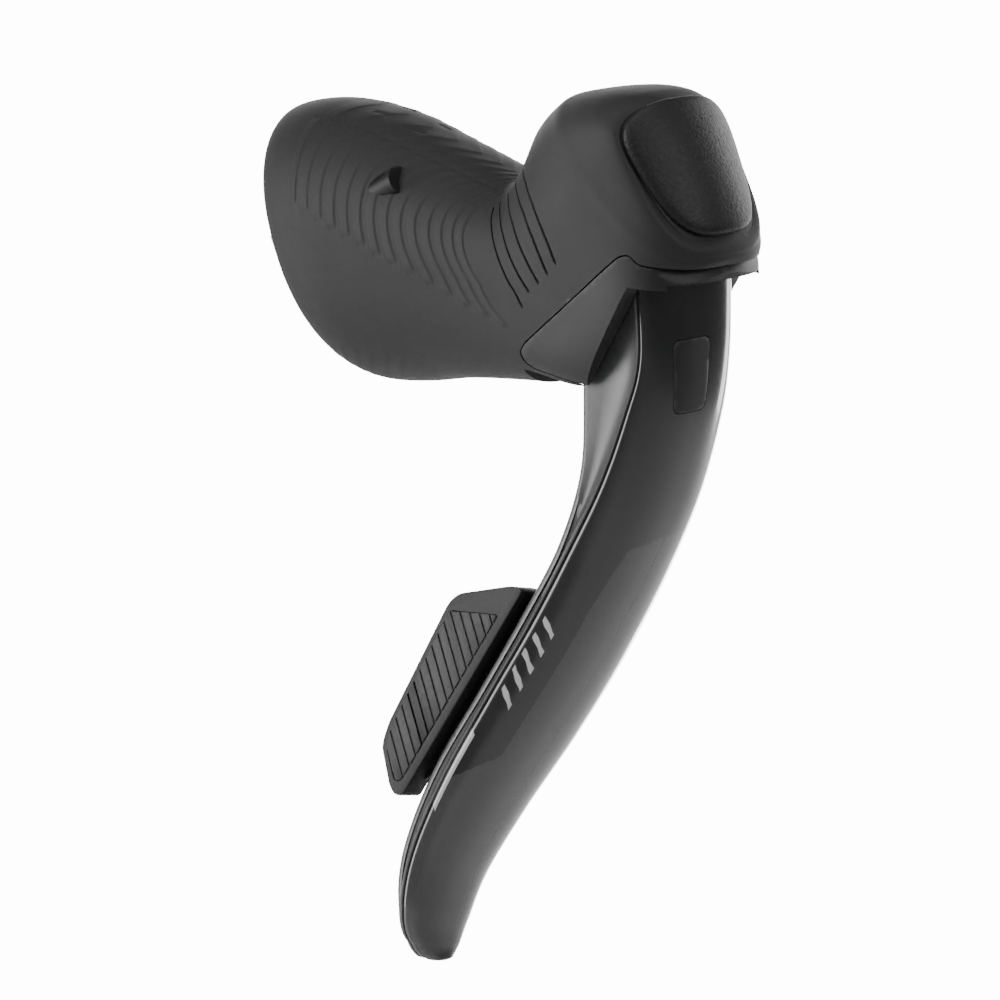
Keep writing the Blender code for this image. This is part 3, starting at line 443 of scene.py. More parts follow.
@dataclass(frozen=True)
class Finish:
    """One material: its colour, shine and the effects laid over it.

    Sizes and depths are in millimetres; shares run from 0 to 1.
    """

    slot: str
    colour: Colour
    roughness: float
    metallic: float = 0.0
    grain: Grain = Grain.FINE
    grain_size: float = 0.35
    grain_depth: float = 0.012
    variation: float = 0.16
    wear: float = 0.25
    dust: float = 0.04
    coat: float = 0.0
    coat_roughness: float = 0.08
    specular: float = 0.5
    rough_spread: float = 0.08

    @property
    def name(self) -> str:
        """Returns the material's name."""
        return self.slot + "_finish"

    def material(self) -> bpy.types.Material:
        """Returns the Blender material, built on first use."""
        made = bpy.data.materials.get(self.name)
        if made:
            return made
        made = bpy.data.materials.new(self.name)
        made.use_nodes = True
        self.dress(made.node_tree)
        return made

    def group(self, tree: bpy.types.NodeTree, effect: str, **values: float) -> bpy.types.Node:
        """Places a shared effect in a material.

        Args:
            tree: The material's nodes.
            effect: The group's name.
            values: Numbers for the group's inputs.

        Returns:
            The group's node.
        """
        node = tree.nodes.new("ShaderNodeGroup")
        node.node_tree = EFFECTS[effect]
        for socket, value in values.items():
            node.inputs[socket].default_value = value
        return node

    def mix(self, tree: bpy.types.NodeTree, factor: bpy.types.NodeSocket, low: object, high: object) -> bpy.types.NodeSocket:
        """Mixes two colours, each a socket or three numbers, by a factor socket."""
        node = tree.nodes.new("ShaderNodeMix")
        node.data_type = "RGBA"
        tree.links.new(factor, node.inputs["Factor"])
        for slot, value in ((node.inputs[6], low), (node.inputs[7], high)):
            if isinstance(value, bpy.types.NodeSocket):
                tree.links.new(value, slot)
            else:
                slot.default_value = (*value, 1.0)
        return node.outputs[2]

    def tinted(self, share: float) -> Colour:
        """Returns the colour made lighter or darker by a share."""
        return tuple(min(1.0, part * (1 + share)) for part in self.colour)

    def base_colour(self, tree: bpy.types.NodeTree, tone: bpy.types.NodeSocket) -> bpy.types.NodeSocket:
        """Returns the colour before wear and dust, varied by tone."""
        return self.mix(tree, tone, self.tinted(-self.variation), self.tinted(self.variation))

    def dress(self, tree: bpy.types.NodeTree) -> None:
        """Builds the material's nodes."""
        shader = tree.nodes["Principled BSDF"]
        grain = self.group(tree, self.grain.value, Size=self.grain_size)
        # This group gives the rubbed-edge wear mask and the painted groove shade mask
        wear = self.group(tree, "edge_wear_and_groove_shade", Amount=self.wear, Size=1.5)
        dust = self.group(tree, "settled_dust", Amount=self.dust, Size=7.0)
        colour = self.base_colour(tree, grain.outputs["Tone"])
        rubbed = tuple(min(1.0, part * 2.2 + 0.02) for part in self.colour)
        colour = self.mix(tree, wear.outputs["Mask"], colour, rubbed)
        colour = self.mix(tree, dust.outputs["Mask"], colour, (0.42, 0.41, 0.39))
        # Painted shade: the groove mask darkens the colour to a tenth in hollows and grooves
        colour = self.mix(tree, wear.outputs["PaintedGrooveShade"], colour, self.tinted(-0.9))
        tree.links.new(colour, shader.inputs["Base Color"])
        spread = tree.nodes.new("ShaderNodeMapRange")
        spread.inputs["To Min"].default_value = max(0.02, self.roughness - self.rough_spread)
        spread.inputs["To Max"].default_value = min(1.0, self.roughness + self.rough_spread)
        tree.links.new(grain.outputs["Tone"], spread.inputs["Value"])
        tree.links.new(spread.outputs["Result"], shader.inputs["Roughness"])
        bump = tree.nodes.new("ShaderNodeBump")
        bump.inputs["Distance"].default_value = self.grain_depth * MM
        bump.inputs["Strength"].default_value = 1.0
        tree.links.new(grain.outputs["Height"], bump.inputs["Height"])
        tree.links.new(bump.outputs["Normal"], shader.inputs["Normal"])
        shader.inputs["Metallic"].default_value = self.metallic
        shader.inputs["Coat Weight"].default_value = self.coat
        shader.inputs["Coat Roughness"].default_value = self.coat_roughness
        shader.inputs["Specular IOR Level"].default_value = self.specular


@dataclass(frozen=True)
class BladeLacquer(Finish):
    """Clear-coated dark carbon with a lighter field painted on as a reflection of light on its glossy inboard part, and
    plain silver marks, laid out along the blade's own map.

    The map's first direction runs across the blade from its outboard edge, the second from top to tip.
    """

    painted_reflection_colour: Colour = (0.060, 0.060, 0.062)
    silver: Colour = (0.62, 0.62, 0.63)
    slant: tuple[float, float] = (0.309, 0.087)   # where the painted reflection field starts, and its slope
    field_edge: tuple[tuple[float, float], ...] = ((0.331, 0.342), (0.365, 0.307), (0.405, 0.281), (0.586, 0.281),
                                                   (0.621, 0.085), (0.636, 0.0))
    marks: tuple[tuple[float, float, float, float], ...] = ()

    def base_colour(self, tree: bpy.types.NodeTree, tone: bpy.types.NodeSocket) -> bpy.types.NodeSocket:
        """Returns the dark colour with its painted reflection field and its marks."""
        dark = super().base_colour(tree, tone)
        across, along = self.map_axes(tree)
        edge = tree.nodes.new("ShaderNodeValToRGB")
        ramp = edge.color_ramp.elements
        for i, (place, share) in enumerate(self.field_edge):
            stop = ramp[i] if i < len(ramp) else ramp.new(place)
            stop.position = place
            stop.color = (share, share, share, 1.0)
        tree.links.new(along, edge.inputs["Fac"])
        past_edge = self.step(tree, self.calc(tree, "SUBTRACT", across, edge.outputs["Color"]), 0.004)
        start = self.calc(tree, "MULTIPLY_ADD", across, self.slant[1], along)
        past_start = self.step(tree, self.calc(tree, "SUBTRACT", start, self.slant[0] + 0.593 * self.slant[1]), 0.0012)
        # Painted reflection: the lighter field on the blade's inboard part stands in for light that the glossy coat
        # reflects
        painted_reflection_mask = self.calc(tree, "MULTIPLY", past_edge, past_start)
        colour = self.mix(tree, painted_reflection_mask, dark, self.painted_reflection_colour)
        for low_u, high_u, low_v, high_v in self.marks:
            colour = self.mix(tree, self.patch(tree, across, along, low_u, high_u, low_v, high_v), colour, self.silver)
        return colour

    def map_axes(self, tree: bpy.types.NodeTree) -> tuple[bpy.types.NodeSocket, bpy.types.NodeSocket]:
        """Returns the map's across and along values."""
        coordinates = tree.nodes.new("ShaderNodeTexCoord")
        parts = tree.nodes.new("ShaderNodeSeparateXYZ")
        tree.links.new(coordinates.outputs["UV"], parts.inputs["Vector"])
        return parts.outputs["X"], parts.outputs["Y"]

    def calc(self, tree: bpy.types.NodeTree, operation: str, *values: object) -> bpy.types.NodeSocket:
        """Adds a Math node on sockets or numbers and returns its result."""
        node = tree.nodes.new("ShaderNodeMath")
        node.operation = operation
        for slot, value in zip(node.inputs, values):
            if isinstance(value, bpy.types.NodeSocket):
                tree.links.new(value, slot)
            else:
                slot.default_value = value
        return node.outputs[0]

    def step(self, tree: bpy.types.NodeTree, value: bpy.types.NodeSocket, width: float) -> bpy.types.NodeSocket:
        """Turns a signed value into a crisp mask that is 0 below zero and 1 above."""
        node = tree.nodes.new("ShaderNodeMapRange")
        node.inputs["From Min"].default_value = -width / 2
        node.inputs["From Max"].default_value = width / 2
        tree.links.new(value, node.inputs["Value"])
        return node.outputs["Result"]

    def patch(self, tree: bpy.types.NodeTree, across: bpy.types.NodeSocket, along: bpy.types.NodeSocket,
              low_u: float, high_u: float, low_v: float, high_v: float) -> bpy.types.NodeSocket:
        """Returns a mask that is 1 in a slanted patch of the map."""
        slanted = self.calc(tree, "MULTIPLY_ADD", across, -0.10, along)
        mask = self.step(tree, self.calc(tree, "SUBTRACT", across, low_u), 0.003)
        mask = self.calc(tree, "MULTIPLY", mask, self.step(tree, self.calc(tree, "SUBTRACT", high_u, across), 0.003))
        mask = self.calc(tree, "MULTIPLY", mask, self.step(tree, self.calc(tree, "SUBTRACT", slanted, low_v), 0.001))
        return self.calc(tree, "MULTIPLY", mask, self.step(tree, self.calc(tree, "SUBTRACT", high_v, slanted), 0.001))


FINISHES: dict[str, Finish] = {finish.slot: finish for finish in (
    Finish("hood_rubber", (0.030, 0.030, 0.031), 0.60, grain_size=0.30, grain_depth=0.010, variation=0.10, wear=0.35,
           dust=0.02, specular=0.45),
    Finish("pad_rubber", (0.012, 0.012, 0.0125), 0.50, grain=Grain.PEBBLE, grain_size=0.62, grain_depth=0.05,
           variation=0.25, wear=0.1, dust=0.01),
    Finish("body_plastic", (0.020, 0.020, 0.021), 0.48, grain_size=0.25, grain_depth=0.006, wear=0.4, dust=0.02),
    BladeLacquer("gloss_carbon", (0.016, 0.016, 0.0165), 0.22, grain_size=0.9, grain_depth=0.0, variation=0.2,
                 wear=0.0, dust=0.0, coat=1.0, coat_roughness=0.04, rough_spread=0.04,
                 marks=((0.035, 0.150, 0.430, 0.437), (0.030, 0.150, 0.452, 0.459), (0.025, 0.150, 0.474, 0.481),
                        (0.025, 0.150, 0.496, 0.503), (0.030, 0.150, 0.518, 0.525), (0.0, 0.030, 0.580, 0.668))),
    Finish("frame_grey", (0.150, 0.150, 0.153), 0.34, metallic=0.45, grain_size=0.22, grain_depth=0.003, wear=0.5,
           dust=0.01, variation=0.06),
    Finish("paddle_plastic", (0.008, 0.008, 0.0083), 0.50, grain_size=0.22, grain_depth=0.006, wear=0.3, dust=0.02),
    Finish("grip_rubber", (0.024, 0.024, 0.0245), 0.56, grain_size=0.20, grain_depth=0.006, wear=0.3, dust=0.02),
    Finish("steel", (0.56, 0.56, 0.58), 0.28, metallic=1.0, grain=Grain.BRUSHED, wear=0.1, grain_depth=0.003),
    Finish("dark_steel", (0.10, 0.10, 0.105), 0.38, metallic=0.9, grain=Grain.BRUSHED, wear=0.5, grain_depth=0.003),
    Finish("aluminium", (0.70, 0.70, 0.72), 0.32, metallic=1.0, grain=Grain.BRUSHED, wear=0.1, grain_depth=0.003),
    Finish("brass", (0.72, 0.52, 0.22), 0.32, metallic=1.0, grain=Grain.BRUSHED, wear=0.1, grain_depth=0.003),
    Finish("seal_rubber", (0.015, 0.015, 0.015), 0.60),
    Finish("board_green", (0.02, 0.16, 0.07), 0.40, coat=0.5),
    Finish("lens_clear", (0.72, 0.75, 0.77), 0.12, wear=0.0, coat=0.6),
    Finish("nylon", (0.62, 0.61, 0.57), 0.45),
)}


def dress(piece: bpy.types.Object, slot: str) -> None:
    """Gives a piece the finish of a material slot."""
    piece.data.materials.clear()
    piece.data.materials.append(FINISHES[slot].material())


def stand_for(piece: bpy.types.Object, body: str, slot: str, *nodes: str) -> None:
    """Ties a finished piece to the frame.

    Args:
        piece: The finished object.
        body: The body that it rides on.
        slot: The material slot that it is finished from.
        nodes: The nodes that it stands for.
    """
    dress(piece, slot)
    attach(piece, body)
    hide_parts(*nodes)
    log.info("%s: %d faces on %s", piece.name, len(piece.data.polygons), body)


# ---------------------------------------------------------------- forms shared by the sub-assemblies

@dataclass(frozen=True)
class HoodForm:
    """The hood's outer shape as sections from the handlebar to the pad.

    Each station holds the top x and z, the bottom x and z, the half width, the squareness above and
    below, and the taper of the width, in millimetres.
    """

    stations: tuple[tuple[float, ...], ...] = (
        (-8.0, 20.0, 11.5, -22.0, 17.0, 2.2, 2.2, 0.0),
        (-6.5, 23.3, 13.0, -26.5, 19.5, 2.2, 2.2, 0.0),
        (4.0, 25.0, 20.0, -28.5, 20.5, 2.2, 2.2, 0.0),
        (18.0, 24.0, 30.0, -27.5, 19.5, 2.2, 2.2, 0.0),
        (31.0, 21.0, 42.0, -25.0, 18.0, 2.2, 2.3, 0.0),
        (43.0, 18.0, 56.0, -23.0, 16.5, 2.2, 2.6, 0.0),
        (51.0, 16.0, 69.0, -21.5, 15.8, 2.2, 3.2, 0.0),
        (55.6, 16.0, 84.0, -21.0, 15.6, 2.3, 4.0, 0.0),
        (59.5, 21.0, 97.0, -15.5, 15.8, 2.4, 4.2, 0.0),
        (64.5, 28.5, 104.0, -7.0, 16.2, 2.6, 4.0, 0.0),
        (72.0, 33.6, 105.0, 1.5, 16.0, 2.8, 3.4, 0.05),
        (81.0, 35.5, 106.0, 6.5, 15.2, 3.0, 3.0, 0.09),
        (88.0, 35.6, 106.2, 8.5, 14.0, 3.2, 3.2, 0.14),
        (92.2, 34.3, 105.0, 11.0, 12.6, 3.4, 3.2, 0.20),
    )
    face_sweep: float = 4.0
    pad_top: tuple[float, float, float] = (91.7, 0.0, 34.5)
    pad_bottom: tuple[float, float, float] = (104.2, 0.0, 12.2)

    @property
    def end(self) -> float:
        """Returns the place of the last station."""
        return float(len(self.stations) - 1)

    @property
    def pad_down(self) -> np.ndarray:
        """Returns the direction down the horn's front face."""
        down = np.subtract(self.pad_bottom, self.pad_top)
        return down / np.linalg.norm(down)

    @property
    def pad_normal(self) -> np.ndarray:
        """Returns the direction out of the horn's front face."""
        return np.array((-self.pad_down[2], 0.0, self.pad_down[0]))

    def points(self, places: np.ndarray, angles: np.ndarray, inset: object = 0.0, shift: object = 0.0,
               half_limit: object = 99.0) -> np.ndarray:
        """Returns points of the sections.

        Args:
            places: One place along the hood for each ring.
            angles: Angles of each ring's points, in radians, one row for each ring.
            inset: How far the section is pulled in, for each ring or for all.
            shift: How far the section is moved out of the pad's plane, for each ring or for all.
            half_limit: The most that the half width may be, for each ring or for all.

        Returns:
            An array of rings, points and coordinates.
        """
        rows = smooth_rows(self.stations, places)
        inset, shift, half_limit = (np.broadcast_to(value, places.shape) for value in (inset, shift, half_limit))
        top = np.stack((rows[:, 0], 0 * places, rows[:, 1]), 1)
        low = np.stack((rows[:, 2], 0 * places, rows[:, 3]), 1)
        along = (low - top) / np.linalg.norm(low - top, axis=1)[:, None]
        top, low = top + along * inset[:, None], low - along * inset[:, None]
        half = np.minimum(rows[:, 4] - inset, half_limit)[:, None]
        centre = ((top + low) / 2)[:, None]
        c, s = np.cos(angles), np.sin(angles)
        power = 2 / np.where(s >= 0, rows[:, 5:6], rows[:, 6:7])
        rise = np.abs(s) ** power
        widen = 1 + rows[:, 7:8] * np.where(s >= 0, rise, -rise)
        side = half * np.sign(c) * np.abs(c) ** power * widen
        end = np.where((s >= 0)[..., None], top[:, None], low[:, None])
        swept = shift[:, None] - self.sweep(places[:, None], side)
        made = centre + (end - centre) * rise[..., None] + self.pad_normal * swept[..., None]
        made[..., 1] += side
        return made

    def sweep(self, place: object, side: np.ndarray) -> np.ndarray:
        """Returns how far points of the horn's front lie back, from their place and side."""
        near_face = np.clip((np.asarray(place) - 10.5) / 2.5, 0, 1) ** 2
        return self.face_sweep * near_face * np.minimum(np.abs(side) / 14, 1.2) ** 2

    def face_ring(self, angles: np.ndarray, inset: float, out: float, share: float = 1.0) -> np.ndarray:
        """Returns one ring of the horn's front face, drawn towards the face's middle.

        Args:
            angles: One row of angles.
            inset: How far the outline is pulled in.
            out: Distance out of the face.
            share: Size of the ring as a share of the outline.

        Returns:
            The ring's points.
        """
        ring = self.points(np.array([self.end]), angles, inset)[0]
        ring = ring + self.pad_normal * self.sweep(self.end, ring[:, 1])[:, None]
        ring = ring.mean(axis=0) + (ring - ring.mean(axis=0)) * share
        return ring + self.pad_normal * (out - self.sweep(self.end, ring[:, 1]))[:, None]

    def face_plug(self, name: str, inset: float, low: float, high: float) -> bpy.types.Object:
        """Builds a plug with the outline of the horn's front and its curve at both ends."""
        angles = self.even_angles(np.array([self.end]), 96)
        shares = np.linspace(0.04, 1, 9)
        rings = [self.face_ring(angles, inset, low, share) for share in shares]
        rings += [self.face_ring(angles, inset, high, share) for share in shares[::-1]]
        return loft(name, np.array(rings))

    def even_angles(self, places: np.ndarray, count: int, inset: object = 0.0) -> np.ndarray:
        """Returns angles that space each section's points evenly along it, from its top.

        Args:
            places: One place along the hood for each ring.
            count: Points on each ring, an even number.
            inset: How far the sections are pulled in.

        Returns:
            Angles in radians, one row for each ring.
        """
        half = np.linspace(math.pi / 2, 1.5 * math.pi, 721)
        half = math.pi + (half - math.pi) * np.abs((half - math.pi) / (math.pi / 2)) ** 1.5
        dense = self.points(places, np.broadcast_to(half, (len(places), len(half))), inset)
        run = np.concatenate((np.zeros((len(places), 1)),
                              np.cumsum(np.linalg.norm(np.diff(dense, axis=1), axis=2), axis=1)), axis=1)
        shares = np.arange(count // 2 + 1) / (count // 2)
        sides = np.array([np.interp(shares * row[-1], row, half) for row in run])
        return np.concatenate((sides, (math.pi - sides[:, -2:0:-1]) % (2 * math.pi)), axis=1)


@dataclass(frozen=True)
class BladeForm:
    """The brake blade's shape as sections from its top to its tip.

    Each station holds the front's centre x, y and z, the half width, the depth of the seam and the
    whole depth, in millimetres.
    """

    stations: tuple[tuple[float, ...], ...] = (
        (98.0, 0.0, 1.5, 11.8, 3.0, 18.5),
        (99.2, 0.0, -12.0, 11.2, 4.0, 20.0),
        (98.4, -0.2, -24.0, 11.6, 6.0, 19.0),
        (94.3, -1.0, -40.0, 12.0, 7.5, 15.0),
        (87.8, -2.6, -56.0, 12.2, 8.5, 13.0),
        (80.0, -5.2, -72.0, 12.2, 8.5, 13.0),
        (71.3, -9.0, -88.0, 12.0, 8.0, 12.5),
        (62.3, -13.6, -104.0, 11.0, 7.0, 12.0),
        (56.0, -17.6, -118.0, 9.5, 6.0, 10.5),
        (53.7, -20.0, -128.0, 8.0, 4.8, 8.0),
        (53.3, -20.9, -133.0, 5.8, 3.2, 6.0),
        (53.5, -21.2, -135.3, 3.2, 2.0, 4.4),
    )
    wall: float = 1.6
    arc_power: float = 2 / 2.4

    @property
    def end(self) -> float:
        """Returns the place of the last station."""
        return float(len(self.stations) - 1)

    def arc(self, half: float, front: float, seam: float, count: int, bead: float = 0.0) -> list:
        """Returns the front's curve as (sideways, depth) points, with a raised bead at both edges."""
        made = []
        for angle in np.linspace(0, math.pi, count):
            swell = 1 + bead / half * math.exp(-(math.sin(angle) / 0.16) ** 2)
            across = math.copysign(abs(math.cos(angle)) ** self.arc_power, math.cos(angle))
            made.append((-half * across * swell, front + (seam - front) * (1 - math.sin(angle) ** self.arc_power)))
        return made

    def rounded_tip(self, rings: np.ndarray, reach: float = 0.7) -> np.ndarray:
        """Adds rings that close the blade's last ring into a round end."""
        last = rings[-1]
        middle = last.mean(axis=0)
        along = middle - rings[-2].mean(axis=0)
        along /= np.linalg.norm(along)
        turns = np.radians(np.linspace(12, 84, 7))
        extra = [middle + (last - middle) * math.cos(turn) + along * reach * math.sin(turn) for turn in turns]
        return np.concatenate((rings, np.array(extra)))

    def rings(self, section: Callable[[float, float, float], list], places: np.ndarray) -> np.ndarray:
        """Returns rings of a section along the blade.

        Args:
            section: Gives (sideways, depth) points from the half width, seam depth and whole depth.
            places: The rings' places.

        Returns:
            An array of rings, points and coordinates.
        """
        rows = smooth_rows(self.stations, places)
        ahead = smooth_rows(self.stations, np.minimum(places + 0.05, self.end))[:, :3]
        behind = smooth_rows(self.stations, np.maximum(places - 0.05, 0))[:, :3]
        made = []
        for row, step in zip(rows, ahead - behind):
            along = Vector(step).normalized()
            side = along.cross(Vector((1, 0, 0))).normalized()
            side = side if side.y > 0 else -side
            forward = side.cross(along).normalized()
            forward = forward if forward.x > 0 else -forward
            centre = Vector(row[:3])
            made.append([tuple(centre + side * a - forward * f) for a, f in section(*row[3:])])
        return np.array(made)


@dataclass(frozen=True)
class PaddleSpace:
    """The shift paddle's own directions: along the blade, towards the bicycle, and rearward."""

    top: tuple[float, float, float] = (86.0, -3.3, -60.0)
    bottom: tuple[float, float, float] = (62.6, -13.4, -103.5)
    hinge: tuple[float, float] = (0.5, 8.9)

    def point(self, along: float, side: float, back: float) -> Vector:
        """Returns a row-frame point in millimetres."""
        top, bottom = Vector(self.top), Vector(self.bottom)
        run = (bottom - top).normalized()
        sideways = -run.cross(Vector((1, 0, 0))).normalized()
        return (top + bottom) / 2 + run * along + sideways * side + sideways.cross(run) * back

    def across(self, u: float, v: float, sweep: float) -> Vector:
        """Puts an outline of (sideways, rearward) points along the blade."""
        return self.point(sweep, u, v)

    def beside(self, u: float, v: float, sweep: float) -> Vector:
        """Puts an outline of (along, rearward) points, swept sideways."""
        return self.point(u, sweep, v)


def bar_point(forward: float, side: float, up: float, tilt: float = math.radians(28)) -> Vector:
    """Returns a row-frame point from the clamp's own directions, where up runs along the bar."""
    c, s = math.cos(tilt), math.sin(tilt)
    return Vector((forward * c - up * s, side, forward * s + up * c))


HOOD = HoodForm()
BLADE = BladeForm()
PADDLE = PaddleSpace()
PIVOT = Vector((84.0, 0.0, 6.0))
TRUNNION = Vector((82.0, 0.0, -9.0))


# ---------------------------------------------------------------- hood and pad

@dataclass
class HoodCover:
    """The moulded rubber hood with its raised grip bars, crook grooves and side openings."""

    wall: float = 2.2
    rim_wall: float = 0.75
    around: int = 300
    bar_height: float = 0.18
    groove_depth: float = 0.80
    nose_cut: tuple[tuple[float, float], ...] = (
        (118.0, 4.2), (97.7, 6.5), (95.9, 8.2), (93.7, 7.7), (68.5, -12.3), (66.95, -14.2), (67.3, -16.1),
        (69.3, -17.25), (83.2, -18.55), (84.0, -45.0), (118.0, -45.0))
    # Crook grooves: (place, angle) along each one, from its top
    grooves: tuple[tuple[tuple[float, float], ...], ...] = (
        ((8.15, 127.0), (8.26, 140.0), (8.27, 153.0), (8.20, 166.0), (8.12, 173.5), (8.04, 178.0)),
        ((7.64, 122.5), (7.80, 136.0), (7.88, 151.0), (7.84, 164.0), (7.78, 172.0), (7.72, 178.2)),
        ((7.21, 124.5), (7.31, 137.0), (7.38, 149.5), (7.38, 162.0), (7.39, 171.5), (7.40, 178.7)),
        ((6.79, 128.5), (6.86, 139.5), (6.91, 150.7), (6.95, 164.0), (7.00, 173.5), (7.06, 179.7)),
        ((6.50, 133.0), (6.45, 142.0), (6.48, 152.5), (6.54, 165.0), (6.61, 176.0), (6.70, 181.0)))
    button: tuple[float, float] = (80.0, 22.0)

    def bars(self, mapped: np.ndarray, angle: np.ndarray, first: float, pitch: float, count: int, share: float,
             low: float, high: np.ndarray) -> np.ndarray:
        """Returns a row of raised bars as a mask from 0 to 1.

        Args:
            mapped: Each point's place across the row of bars.
            angle: Each point's angle in degrees.
            first: Place of the first bar's middle.
            pitch: Distance between bars.
            count: Number of bars.
            share: Half width of a bar as a share of the pitch.
            low: Angle where the bars begin.
            high: Angle where each point's bar ends.

        Returns:
            The mask.
        """
        step = (mapped - first) / pitch
        off = step - np.clip(np.round(step), 0, count - 1)
        ramp = 0.62 + 0.38 * off / share
        return ramp * soft_step(share - np.abs(off), 0.10) * soft_step(angle - low, 1.2) * soft_step(high - angle, 1.2)

    def relief(self, place: np.ndarray, angle: np.ndarray) -> np.ndarray:
        """Returns the moulded relief's height.

        Args:
            place: Each point's place along the hood.
            angle: Each point's angle in degrees, mirrored to the outboard side.

        Returns:
            Heights in millimetres.
        """
        bow = ((angle - 160) / 40) ** 2
        mapped = (place + 0.475 * bow) / (1 + 0.28 * bow)
        side_step = np.clip(np.round((mapped - 2.0) / 0.265), 0, 13)
        side_end = 162 + 2.2 * side_step
        height = self.bar_height * self.bars(mapped, angle, 2.0, 0.265, 14, 0.27, 118.0, side_end)
        height += 0.12 * self.bars(mapped, angle, 2.13, 0.30, 10, 0.27, 60.0, np.full_like(angle, 114.5))
        height += 0.07 * self.bars(place + (angle - 229) * 0.03, angle, 1.5, 0.36, 10, 0.25, 224.0,
                                   np.full_like(angle, 250.0))
        on_row = soft_step(0.3 - np.abs((mapped - 2.0) / 0.265 - side_step), 0.1)
        height -= 0.12 * on_row * soft_step(0.55 - np.abs(angle - side_end - 1.3), 0.5)
        height -= 0.10 * on_row * soft_step(0.9 - np.abs(angle - 116.4), 0.9)
        for middle in (2.95, 3.75):
            dent = soft_step(0.13 - np.abs(place - middle), 0.06) * soft_step(1.6 - np.abs(angle - 99), 1.4)
            height -= 0.20 * dent
        height += 0.22 * np.exp(-((place - 9.95 - np.maximum(0, angle - 171) * 0.0115) / 0.22) ** 2)
        for groove in self.grooves:
            middles, angles = np.array(groove).T
            middle = np.interp(angle, angles, middles)
            within = soft_step(angle - angles[0], 1.0) * soft_step(angles[-1] - angle, 1.0)
            height -= self.groove_depth * soft_step(0.020 - np.abs(place - middle), 0.018) * within
        return height

    def places(self) -> np.ndarray:
        """Returns the outer rings' places, closest together where the relief is fine."""
        spans = ((0.0, 1.6, 16), (1.6, 5.9, 250), (5.9, 8.6, 250), (8.6, 12.8, 60), (12.8, 13.0, 5))
        return np.concatenate([np.linspace(low, high, count, endpoint=False) for low, high, count in spans] + [[13.0]])

    def outer(self) -> np.ndarray:
        """Returns the outer skin's rings with the relief raised on them."""
        places = self.places()
        angles = HOOD.even_angles(places, self.around)
        skin = HOOD.points(places, angles)
        along, across = np.gradient(skin, axis=0), np.roll(skin, -1, 1) - np.roll(skin, 1, 1)
        normal = np.cross(across, along)
        normal /= np.linalg.norm(normal, axis=2)[..., None] + 1e-9
        outward = np.sign(np.sum(normal * (skin - skin.mean(axis=1)[:, None]), axis=2).mean())
        degrees = np.degrees(angles) % 360
        mirrored = np.where(np.cos(angles) > 0, (180 - degrees) % 360, degrees)
        height = self.relief(np.broadcast_to(places[:, None], degrees.shape), mirrored)
        return skin + normal * outward * height[..., None]

    def lip(self) -> np.ndarray:
        """Returns the rings that round the rim beside the pad."""
        turns = np.linspace(0.2, math.pi / 2, 6)
        inset, shift = 0.35 * (1 - np.cos(turns)), 0.35 * np.sin(turns)
        ends = np.full(len(turns), HOOD.end)
        return HOOD.points(ends, HOOD.even_angles(ends, self.around), inset, shift - 0.25)

    def inner(self) -> np.ndarray:
        """Returns the inner skin's rings, from the rim back to the bar."""
        places = np.linspace(HOOD.end, 0, 46)
        wall = self.wall + (self.rim_wall - self.wall) * np.clip((places / HOOD.end - 0.85) / 0.15, 0, 1)
        return HOOD.points(places, HOOD.even_angles(places, self.around), wall)

    def build(self) -> bpy.types.Object:
        """Builds the hood and ties it to the lever."""
        hood = loft("hood_cover_fine", np.concatenate((self.outer(), self.lip(), self.inner())), looped=True)
        nose = prism("nose_cut", round_corners(self.nose_cut, 1.6), -30, 30)
        underside = prism("underside_cut", [(66, -45), (118, -45), (118, -11), (66, -11)], -12.6, 12.6)
        x, z = self.button
        cut(hood, nose, underside, rod("button_cut", (x, 8, z), (x, 30, z), 4.0))
        soften(hood, 0)
        stand_for(hood, "lever", "hood_rubber", "hood_cover")
        return hood


@dataclass
class HornPad:
    """The leather-grained pad in the horn's front face."""

    gap: float = 0.22
    around: int = 200
    crown: float = 0.7

    def build(self) -> bpy.types.Object:
        """Builds the pad as a crowned form with a rounded edge."""
        inset = HoodCover.rim_wall + self.gap
        angles = HOOD.even_angles(np.array([HOOD.end]), self.around, inset)
        shares = np.linspace(0.04, 1, 26)
        rings = [HOOD.face_ring(angles, inset, -2.3, share) for share in shares[::3]]
        profile = [(0.0, -2.3), (0.0, 0.30), (-0.7, 0.42), (-0.95, 0.70), (-0.95, 1.10), (-0.80, 1.50),
                   (-0.45, 1.80), (0.0, 1.98), (0.9, 2.12)]
        rings += [HOOD.face_ring(angles, inset + extra, out) for extra, out in profile]
        rings += [HOOD.face_ring(angles, inset + 0.9, 2.12 + self.crown * (1 - share ** 2.6), share)
                  for share in shares[-2::-1]]
        pad = loft("horn_pad_fine", np.array(rings))
        soften(pad, 0)
        stand_for(pad, "lever", "pad_rubber", "horn_pad")
        return pad


# ---------------------------------------------------------------- lever body

